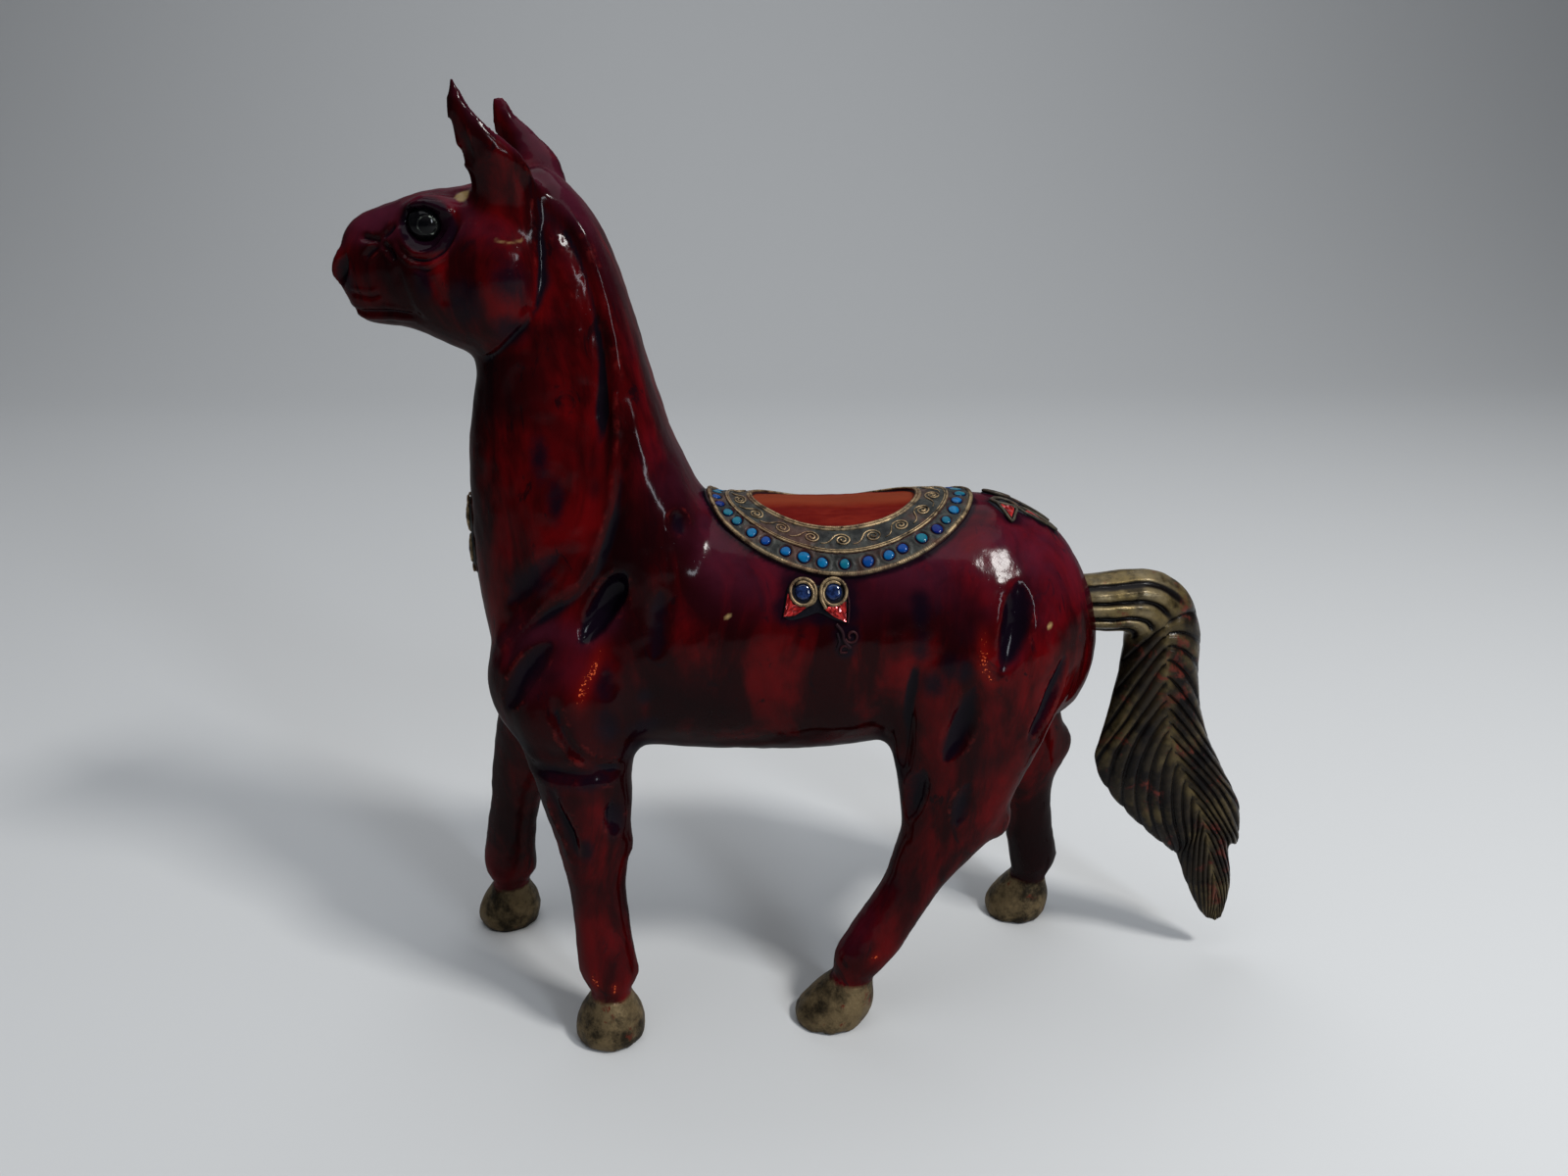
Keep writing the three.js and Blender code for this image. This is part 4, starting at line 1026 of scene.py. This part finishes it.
def addShard(gathered, place, corners, low, high, cuts, rough, seed):
    # a three-cornered piece of crushed mirror glass: small facets at odd slants
    corners = np.array(corners, float)
    ids, flat, tones = {}, [], []
    for i in range(cuts + 1):
        for j in range(cuts + 1 - i):
            a, b = i / cuts, j / cuts
            c = 1 - a - b
            shake = 0.0 if min(a, b, c) < 0.01 else 0.22 / cuts
            spread = Vector((i * 1.7 + seed, j * 2.3, 0.7))
            a, b = a + shake * noise.noise(spread), b + shake * noise.noise(spread * 1.9)
            ids[(i, j)] = len(flat)
            flat.append(a * corners[0] + b * corners[1] + (1 - a - b) * corners[2])
            tones.append(0.5 + 0.8 * noise.noise(spread * 3.1))
    flat = np.array(flat)
    levels = [high + rough * noise.noise(Vector((k * 1.37, seed, 2.2))) * 2 for k in range(len(flat))]
    top = place(flat[:, 0], flat[:, 1], np.array(levels))[0]
    faces = []
    for i in range(cuts):
        for j in range(cuts - i):
            faces.append((ids[(i, j)], ids[(i + 1, j)], ids[(i, j + 1)]))
            if i + j < cuts - 1:
                faces.append((ids[(i + 1, j)], ids[(i + 1, j + 1)], ids[(i, j + 1)]))
    border = [ids[(i, 0)] for i in range(cuts)] + [ids[(cuts - j, j)] for j in range(cuts)]
    border += [ids[(0, cuts - i)] for i in range(cuts)]
    count, around = len(top), len(border)
    sunk = place(flat[border][:, 0], flat[border][:, 1], np.full(around, low))[0]
    for k in range(around):
        after = (k + 1) % around
        faces.append((border[k], border[after], count + after, count + k))
    faces.append(tuple(range(count, count + around)))
    gathered.add(np.vstack([top, sunk]), faces, np.concatenate([tones, np.full(around, 0.3)]))


def addWire(gathered, place, line, radius, rise, count=48, closed=False, tone=1.0, lobes=0, twist=0.0):
    line = np.array(line, float)
    if closed:
        flat = curveThrough(np.vstack([line, line[:1]]), count + 1)[:-1]
    else:
        flat = curveThrough(line, count)
    path, outward = place(flat[:, 0], flat[:, 1], np.full(len(flat), rise))
    gathered.add(*wire(path, radius, 8, outward, closed, lobes, 0.16 if lobes else 0, twist), tone)


def coil(middle, start, turns, outer, inner, count=22):
    part = np.linspace(0, 1, count)
    angle = np.radians(start) + 2 * math.pi * turns * part
    radius = outer + (inner - outer) * part
    return [(middle[0] + r * math.cos(a), middle[1] + r * math.sin(a)) for r, a in zip(radius, angle)]


bowPad = [(-13, 5.6), (-7, 10.2), (0, 7.2), (7, 10.2), (12.4, 5), (12.4, -3), (11.6, -7.8), (5.6, -6.4),
          (0, -4), (-5, -5.4), (-12, -7), (-14.8, -4)]
bowShards = [
    [(-3.4, -0.9), (-10.2, -0.8), (-9.8, -4.8)], [(-10.2, -0.8), (-14.1, -5.2), (-9.8, -4.8)],
    [(-12.2, 3.6), (-14.1, -5.2), (-10.2, -0.8)], [(1.9, -2.0), (6.2, -5.2), (6.4, -1.0)],
    [(6.4, -1.0), (6.2, -5.2), (10.9, -7.2)], [(6.4, -1.0), (10.9, -7.2), (11.0, 0.4)],
]
# a wire's line, radius, rise, points and tone: the knot and a side, then what is left of a hanging sprig
bowWires = [
    ([(-0.9, 4.6), (-1.2, 1.6), (-2.6, -0.2), (-5.4, -1.4)], 0.62, 1.5, 30, 0.7),
    ([(0.9, 4.6), (1.1, 1.8), (2, -0.4), (3, -2.2)], 0.75, 1.5, 30, 0.8),
    ([(11.4, 3.4), (12.1, 0.4), (12, -4), (11.6, -7.6)], 0.45, 0.9, 30, -0.7),
    ([(7, -8), (9.4, -11), (10.2, -14.4), (12.8, -17.4)], 0.7, 0.3, 36, -0.75),
    (coil((13.2, -12.8), 200, 1.1, 2.8, 1.0), 0.55, 0.35, 40, -0.6),
    (coil((10.2, -18.4), 20, 0.9, 2.2, 0.9), 0.5, 0.3, 40, -0.6),
    ([(7.4, -11.4), (8.2, -14.6), (7.4, -17)], 0.45, 0.3, 24, -0.8),
]
ornaments = {}
for flank, name in flanks:
    setting, blues, reds = Gathered(), Gathered(), Gathered()
    place = flankPlace(clothMiddle - bowShape["ahead"], bowShape["reach"], flank)
    addPad(setting, place, bowPad, -0.6, 0.7, -1.0)
    for way in (-1, 1):
        # a ring of wire whose end winds once more inside it, round a dark stone
        middle = (way * bowShape["apart"], bowShape["lift"])
        part = np.linspace(0, 1, 150)
        angle = np.radians(-62 + 560 * part)
        radius = np.interp(part, [0.62, 0.8], [bowShape["outer"], bowShape["inner"]])
        u, v = middle[0] - way * radius * np.cos(angle), middle[1] + radius * np.sin(angle)
        path, out = place(u, v, np.interp(part, [0, 0.1, 0.62, 1], [1.2, 1.7, 1.7, 1.45]))
        thick = bowShape["wire"] * np.interp(part, [0, 0.06, 0.94, 1], [0.6, 1.1, 1, 0.7])
        setting.add(*wire(path, thick, 12, out, False, 3, 0.1, 0.4), 1.0)
        addStone(blues, place, middle, bowShape["stone"], 0.2, 1.55, 0.3 - 0.2 * way)
    for corners in bowShards:
        addShard(reds, place, corners, 0.2, 1.5, 5, 0.3, corners[0][0] + corners[2][1] + 3.3 * flank)
    for line, radius, rise, count, tone in bowWires:
        addWire(setting, place, line, radius, rise, count, False, tone)
    ornaments[name + "_bow"] = (setting, [("blue_glass", blues, (1, 2)), ("red_glass", reds, (3, 4))])
    print(name, "bow", flush=True)

croupPads = [
    [(-7, 4.6), (-3.4, 8.2), (3, 8.4), (6.4, 5), (5.4, 0), (3.6, -6), (1.4, -9.4), (-1.8, -5.4),
     (-5.4, 0.4)],
    [(3, 2.4), (10, 1.6), (18, 2.6), (24, 5.4), (19, 7), (12, 8), (4, 7.4)],
]
croupWires = [
    ([(-3.4, 2.2), (0.6, 2.4), (4.8, 2.2), (3.4, -3), (0.9, -9), (-1.6, -3)], 0.6, 1.15, 0.3),
    ([(-5.6, 4.4), (-2.6, 7.6), (2.4, 7.8), (5.4, 5), (2.6, 2.6), (-2.8, 2.4)], 0.75, 1.3, 0.35),
    ([(5.6, 4.6), (10, 2.2), (17, 2.9), (23.4, 5.4), (18, 6.8), (10, 7.4)], 0.65, 1.0, 0.25),
]
croupPlaceX = clothShape["front"] + clothShape["length"] + croupShape["behind"]
for flank, name in flanks:
    setting, reds = Gathered(), Gathered()
    place = flankPlace(croupPlaceX, croupShape["reach"], flank)
    for outline in croupPads:
        addPad(setting, place, outline, -0.6, croupShape["padRise"], -0.9)
    addShard(reds, place, [(-2.4, 1.2), (0.9, -7.4), (3.7, 1.4)], 0.2, 1.6, 5, 0.25, 7.7 * flank)
    addShard(reds, place, [(9, 3.4), (17.6, 4), (10.6, 6.2)], 0.2, 1.3, 4, 0.2, 5.1 * flank)
    for line, radius, rise, tone in croupWires:
        addWire(setting, place, line, radius, rise, 60, True, tone)
    addStone(setting, place, (-0.2, 5.2), 2.1, 0.4, 1.3, -1.0)
    ornaments[name + "_croup"] = (setting, [("red_glass", reds, (1,))])

chestPad = [(-4, -17), (0, -18.4), (4, -17), (6.8, -6), (5.2, 1), (7.4, 8), (3.4, 17), (0, 18.4), (-3.4, 17),
            (-7.4, 8), (-5.2, 1), (-6.8, -6)]
setting, blues = Gathered(), Gathered()
addPad(setting, chestPlace, chestPad, -1.2, 1.0)
for lift in (8, -6):
    wide = chestShape["frame"]
    addStone(blues, chestPlace, (0, lift), chestShape["stone"], 0.2, 2.9, 0.1, True)
    lozenge = [(wide, lift), (0, lift + 6), (-wide, lift), (0, lift - 6)]
    addWire(setting, chestPlace, lozenge, 0.7, 1.5, 48, True, 1.0, 3, 0.5)
for end in (-1, 1):
    for side, start in ((-1, 60), (1, 120)):
        curl = coil((2.2 * side, 1 + end * 14.6), start * end, -side * end * 0.9, 1.9, 0.8)
        addWire(setting, chestPlace, curl, 0.55, 1.2, 36, False, 0.8)
ornaments["chest"] = (setting, [("blue_glass", blues, (1, 2))])

# Black lacquer and painted shade: in the carver's gouges, darkest in the deepest, round the eyes, beside the
# cloth and the ornaments, and in blots; the blots under the belly and in the nostril are painted shade.
blotPlaces = [  # x and z on a flank, half the blot's width and half its height
    (52.8, 204, 5, 9), (53, 187, 5, 9), (57.3, 172.5, 8, 8), (64.8, 180.5, 7, 9), (70.2, 179.3, 5, 8),
    (-74.8, 174, 5, 10), (-74.5, 156, 6, 10), (-74.4, 111.7, 5, 11), (-52.5, 198, 5, 11),
    (-104, 214, 12, 7), (-92, 247, 5, 12), (-97, 262, 5, 14), (-60, 152, 9, 7), (48, 128, 6, 12),
    (-98, 126, 4, 10), (-121, 322, 9, 11), (-104, 312, 10, 8), (-103, 331, 9, 12), (-136, 330, 5, 8),
    (-86, 100, 4, 8), (-97, 134, 16, 7), (-82, 132.5, 12, 6), (-113, 145, 9, 5), (-62, 139, 9, 7),
    (-168, 330, 4, 7),
]
points = toShares(readPoints(horse.data))
facing = readNormals(horse.data)
blackAndShade = np.zeros(len(points))
for flank in (-1, 1):
    mirror = np.array([1, -flank, 1])
    onFlank = facing[:, 1] * flank > -0.3
    for line, half, deep, bank in bodyStrokes["scoop"] + headStrokes["scoop"][:1]:
        if deep < 1.4:
            continue
        path = curveThrough(np.array(line) * mirror, 4 * len(line))
        near = onFlank & np.all((points > path.min(0) - 12) & (points < path.max(0) + 12), axis=1)
        distance, along = nearestOn(points[near], facing[near], path)[:2]
        width = (0.6 if 3.3 < half < 3.7 else 1) * half * np.maximum(1 - (2 * along - 1) ** 2, 0.05) ** 0.35
        depth = 1 if deep > 3 else 0.8
        blackAndShade[near] = np.maximum(blackAndShade[near], depth * (1 - fade(distance / width, 0.3, 1.35)))
    for x, z, wide, tall in blotPlaces:
        gap = np.hypot((points[:, 0] - x) / wide, (points[:, 2] - z) / tall)
        gap[points[:, 1] * flank < 8] = 9
        blackAndShade = np.maximum(blackAndShade, 0.9 * (1 - fade(gap, 0.1, 1.5)))
    x, y, z = eyeShape["place"]
    gap = np.linalg.norm((points - np.array([x + 1.5, flank * y, z - 0.5])) * [0.92, 0.5, 1.02], axis=1)
    blackAndShade = np.maximum(blackAndShade, 1.1 * (1 - fade(gap, 9, 12.5)))

# a halo of it round the cloth and the ornaments, black lacquer with painted shade under their edges: places
# beside each ornament's middle, and their sizes
bowHalo = [(-6, 4, 10.5), (6, 4, 10.5), (-11.6, -2.4, 7), (9.4, -3.4, 7), (0, -3, 6), (11, -12.4, 6),
           (10, -17.4, 4.6)]
croupHalo = [(0, 4, 9), (1, -4, 6.4), (8, 4, 6), (16, 5, 6), (22, 5, 4)]
halo = [(onCloth(turn, 1.0)[0], 2.0) for turn in np.linspace(0, 1, 240, endpoint=False)]
for flank in (-1, 1):
    bowPlace = flankPlace(clothMiddle - bowShape["ahead"], bowShape["reach"], flank)
    halo += [(bowPlace(u, v, 0.0)[0], size) for u, v, size in bowHalo]
    croupPlace = flankPlace(croupPlaceX, croupShape["reach"], flank)
    halo += [(croupPlace(u, v, 0.0)[0], size) for u, v, size in croupHalo]
onBack = (points[:, 2] > 155) & (points[:, 0] > -60)
nearest = np.full(int(onBack.sum()), 9.0)
for place, size in halo:
    nearest = np.minimum(nearest, np.linalg.norm(points[onBack] - place, axis=1) / size)
blackAndShade[onBack] = np.maximum(blackAndShade[onBack], 0.9 * (1 - fade(nearest, 0.5, 1.5)))
addValues(horse.data, "blackAndShade", blackAndShade)
print("blackAndShade", flush=True)

# Finishes of the dressed pieces

bronzePaint = {
    "ground": (0.01, 0.011, 0.011), "groundPale": (0.036, 0.038, 0.034), "wireDark": (0.035, 0.023, 0.014),
    "wire": (0.3, 0.215, 0.12), "rubbed": (0.06, 0.036, 0.026), "reddish": (0.11, 0.035, 0.022),
    "edge": (0.028, 0.006, 0.008), "gap": (0.005, 0.005, 0.008),
}
bronze, g = surface("moulded_lacquer")
tone = g.value("tone")
ground = g.mixed(g.mottled(0.36, 0.64, 180, 5, 0.65), bronzePaint["ground"], bronzePaint["groundPale"])
wired = g.mixed(g.mottled(0.34, 0.6, 260, 5, 0.7), bronzePaint["wireDark"], bronzePaint["wire"])
wired = g.mixed(g.mottled(0.5, 0.66, 36, 4, 0.6, 0, 0.7), wired, bronzePaint["rubbed"])
bronzeColor = g.mixed(g.ranged(tone, 0.05, 0.9), ground, wired)
bronzeColor = g.mixed(g.times(g.mottled(0.5, 0.66, 60, 4, 0.6), 0.35), bronzeColor, bronzePaint["reddish"])
bronzeColor = g.mixed(g.ranged(tone, -0.1, -0.55), bronzeColor, bronzePaint["edge"])
bronzeColor = g.mixed(g.ranged(tone, -0.6, -0.9), bronzeColor, bronzePaint["gap"])
g.principled(Base_Color=bronzeColor, Roughness=g.mottled(0.3, 0.7, 200, 3, 0.55, 0.3, 0.5),
             Metallic=g.ranged(tone, 0.0, 1.0, 0.1, 0.6), Normal=g.bump(g.noise(320, 5, 0.7), 0.00035, 0.7),
             Specular_IOR_Level=0.1)

# the discs' tints, each reached at its share of the tone
discTints = ((0.0, 0.27, (0.002, 0.035, 0.19)), (0.27, 0.52, (0.003, 0.095, 0.25)),
             (0.52, 0.77, (0.003, 0.12, 0.26)), (0.77, 1.0, (0.003, 0.11, 0.15)))
discGlass, g = surface("blue_disc_glass")
tone = g.value("tone")
blue = (0.0015, 0.004, 0.1)
for low, high, tint in discTints:
    blue = g.mixed(g.ranged(tone, low, high), blue, tint)
blue = g.mixed(g.mottled(0.35, 0.65, 420, 4, 0.7, 0, 0.5), blue, (0.003, 0.04, 0.12))
blue = g.mixed(g.ranged(g.value("rim"), 0.72, 0.99), blue, (0.002, 0.008, 0.04))
g.principled(Base_Color=blue, Roughness=0.2, Normal=g.bump(g.noise(300, 3, 0.6), 0.0003, 0.5),
             Coat_Weight=0.15, Coat_Roughness=0.06, Specular_IOR_Level=0.06)

blueGlass, g = surface("dark_blue_glass")
dark = g.mixed(g.mottled(0.4, 0.65, 400, 4, 0.7), (0.003, 0.007, 0.03), (0.015, 0.035, 0.12))
g.principled(Base_Color=dark, Roughness=0.1, Coat_Weight=0.3, Coat_Roughness=0.03, Specular_IOR_Level=0.3,
             Normal=g.bump(g.noise(350, 3, 0.6), 0.0002, 0.4))

redGlass, g = surface("red_mirror_glass")
sparkle = g.mixed(g.ranged(g.value("tone"), 0.25, 0.9), (0.16, 0.003, 0.004), (0.75, 0.045, 0.04))
g.principled(Base_Color=sparkle, Roughness=0.12, Metallic=0.45, Coat_Weight=0.5, Coat_Roughness=0.04)

tailPaint = {
    "oliveDark": (0.022, 0.016, 0.007), "olive": (0.13, 0.094, 0.038), "black": (0.004, 0.003, 0.003),
    "brown": (0.018, 0.013, 0.008), "pale": (0.24, 0.19, 0.11), "red": (0.11, 0.02, 0.014),
    "groove": (0.003, 0.002, 0.002),
}
giltTail, g = surface("gilt_wood")
groove, stub = g.value("groove"), g.value("stub")
olive = g.mixed(g.mottled(0.36, 0.62, 110, 5, 0.65), tailPaint["oliveDark"], tailPaint["olive"])
dark = g.mixed(g.mottled(0.4, 0.62, 80, 4, 0.6), tailPaint["black"], tailPaint["brown"])
crestGilt = g.math("SUBTRACT", g.mottled(0.4, 0.72, 44, 4, 0.6), g.times(groove, 1.3))
giltPart = g.math("MAXIMUM", g.times(g.value("rib"), 0.65), g.ranged(crestGilt, 0.0, 0.9, 0.0, 0.5))
giltPart = g.math("MAXIMUM", giltPart, g.times(stub, g.ranged(groove, 0.75, 0.2)))
tailColor = g.mixed(giltPart, dark, olive)
# the stub paler in patches: pale gilt, and painted highlight on its bands
stubPaleAndHighlight = g.times(stub, g.mottled(0.42, 0.62, 60, 4, 0.6))
tailColor = g.mixed(g.times(stubPaleAndHighlight, 0.5), tailColor, tailPaint["pale"])
ruddy = g.ranged(g.noise(75, 5, 0.7, None, 0.6), 0.56, 0.68)
tailColor = g.mixed(g.times(ruddy, 0.75), tailColor, tailPaint["red"])
# painted shade: the grooves between the locks darkened almost to black
tailColor = g.mixed(g.ranged(groove, 0.3, 0.85), tailColor, tailPaint["groove"])
g.principled(Base_Color=tailColor, Roughness=g.mottled(0.3, 0.7, 150, 3, 0.55, 0.22, 0.4),
             Metallic=g.times(giltPart, 0.35), Normal=g.bump(g.noise(260, 5, 0.7), 0.0004, 0.6),
             Coat_Weight=0.1, Coat_Roughness=0.16, Specular_IOR_Level=0.05)

# black glass with a worn pale ring round the pupil
eyeStuff, g = surface("eye_glass")
for (flank, _), eye in zip(flanks, eyes):
    x, y, z = eyeShape["place"]
    local = toShares(readPoints(eye.data)) - np.array([x + 0.8, flank * y, z - 0.4])
    axis = np.array([0.08, flank, 0.03])
    axis /= np.linalg.norm(axis)
    fromAxis = np.linalg.norm(local - (local @ axis)[:, None] * axis, axis=1)
    addValues(eye.data, "fromAxis", np.where(local @ axis > 0, fromAxis, 9))
ringBand = g.times(g.ranged(g.value("fromAxis"), 3.0, 3.3), g.ranged(g.value("fromAxis"), 3.8, 3.5))
ringBroken = g.mottled(0.47, 0.62, 130, 5, 0.75, 0.02, 1.0)
eyeColor = g.mixed(g.mottled(0.4, 0.7, 240), (0.0012, 0.0012, 0.0018), (0.006, 0.0055, 0.006))
eyeColor = g.mixed(g.times(ringBand, ringBroken), eyeColor, (0.42, 0.47, 0.4))
g.principled(Base_Color=eyeColor, Roughness=0.05, Coat_Weight=0.3, Coat_Roughness=0.02,
             Specular_IOR_Level=0.0)

saddle.data.materials.append(bronze)
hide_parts("saddle_cloth")
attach(saddle, "root")
glassDiscs.data.materials.append(discGlass)
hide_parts(*[f"glass_{k:02d}" for k in range(1, 39)])
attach(glassDiscs, "root")
tail.data.materials.append(giltTail)
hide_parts("tail")
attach(tail, "root")
for eye, node in zip(eyes, ("left_eye", "right_eye")):
    eye.data.materials.append(eyeStuff)
    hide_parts(node)
    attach(eye, "root")
glassFinish = {"blue_glass": blueGlass, "red_glass": redGlass}
for name, (setting, glasses) in ornaments.items():
    piece = setting.made(name + "_ornament")
    piece.data.materials.append(bronze)
    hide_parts(name + "_setting")
    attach(piece, "root")
    for slotName, gathered, numbers in glasses:
        stones = gathered.made(name + "_" + slotName)
        if slotName == "red_glass":
            for polygon in stones.data.polygons:
                polygon.use_smooth = False
        stones.data.materials.append(glassFinish[slotName])
        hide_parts(*[f"{name}_glass_{k}" for k in numbers])
        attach(stones, "root")
print("finishes", flush=True)

# Floor, light and camera. The floor sweeps up into its backdrop.
sweep = {"wide": 9, "near": -4, "bend": 1.5, "radius": 1.4, "tall": 4, "steps": 24}
profile = [(sweep["near"], 0.0), (0.0, 0.0), (sweep["bend"], 0.0)]
for step in range(1, sweep["steps"] + 1):
    angle = math.radians(90 * step / sweep["steps"])
    along, rise = sweep["radius"] * math.sin(angle), sweep["radius"] * (1 - math.cos(angle))
    profile.append((sweep["bend"] + along, rise))
profile.append((sweep["bend"] + sweep["radius"], sweep["tall"]))
corners = [(side * sweep["wide"] / 2, y, z) for y, z in profile for side in (-1, 1)]
strips = [(2 * i, 2 * i + 1, 2 * i + 3, 2 * i + 2) for i in range(len(profile) - 1)]
floor = meshFrom("floor", corners, strips)
softShaded(floor)
floorStuff, g = surface("pale_floor")
g.principled(Base_Color=(0.56, 0.57, 0.575), Roughness=0.8, Specular_IOR_Level=0.2)
floor.data.materials.append(floorStuff)

world = bpy.data.worlds.new("studio")
bpy.context.scene.world = world
world.use_nodes = True
world.node_tree.nodes["Background"].inputs["Color"].default_value = (0.8, 0.85, 0.95, 1.0)
world.node_tree.nodes["Background"].inputs["Strength"].default_value = 0.08

lamps = {  # place, aimed at, size, power and tint
    "overhead": ((0.8, -0.66, 1.45), (0, 0, 0.2), (0.26, 0.2), 19, (1, 0.985, 0.96)),
    "ceiling": ((-0.1, 0.5, 2.3), (0, 0.5, 0), (3.2, 2.4), 38, (0.95, 0.97, 1)),
    "strip": ((1.0, -1.5, 0.95), (0, 0, 0.2), (0.22, 0.6), 11, (0.85, 0.92, 1)),
}
for name, (place, target, size, power, tint) in lamps.items():
    data = bpy.data.lights.new(name, "AREA")
    data.shape = "RECTANGLE"
    data.size, data.size_y = size
    data.energy = power
    data.color = tint
    light = bpy.data.objects.new(name, data)
    bpy.context.scene.collection.objects.link(light)
    light.location = place
    light.rotation_euler = (Vector(target) - Vector(place)).to_track_quat("-Z", "Y").to_euler()

view = {"spot": (-25.3, -482.3, 373), "pitch": 70, "turn": -3, "lens": 27, "sensor": 36}
camera = bpy.data.objects.new("camera", bpy.data.cameras.new("camera"))
bpy.context.scene.collection.objects.link(camera)
camera.data.lens = view["lens"]
camera.data.sensor_width = view["sensor"]
camera.data.sensor_fit = "HORIZONTAL"
camera.location = spot(*view["spot"])
camera.rotation_euler = (math.radians(view["pitch"]), 0, math.radians(view["turn"]))
camera.data.clip_start = 0.01
bpy.context.scene.camera = camera
bpy.context.scene.view_settings.view_transform = "Standard"
bpy.context.scene.view_settings.look = "None"
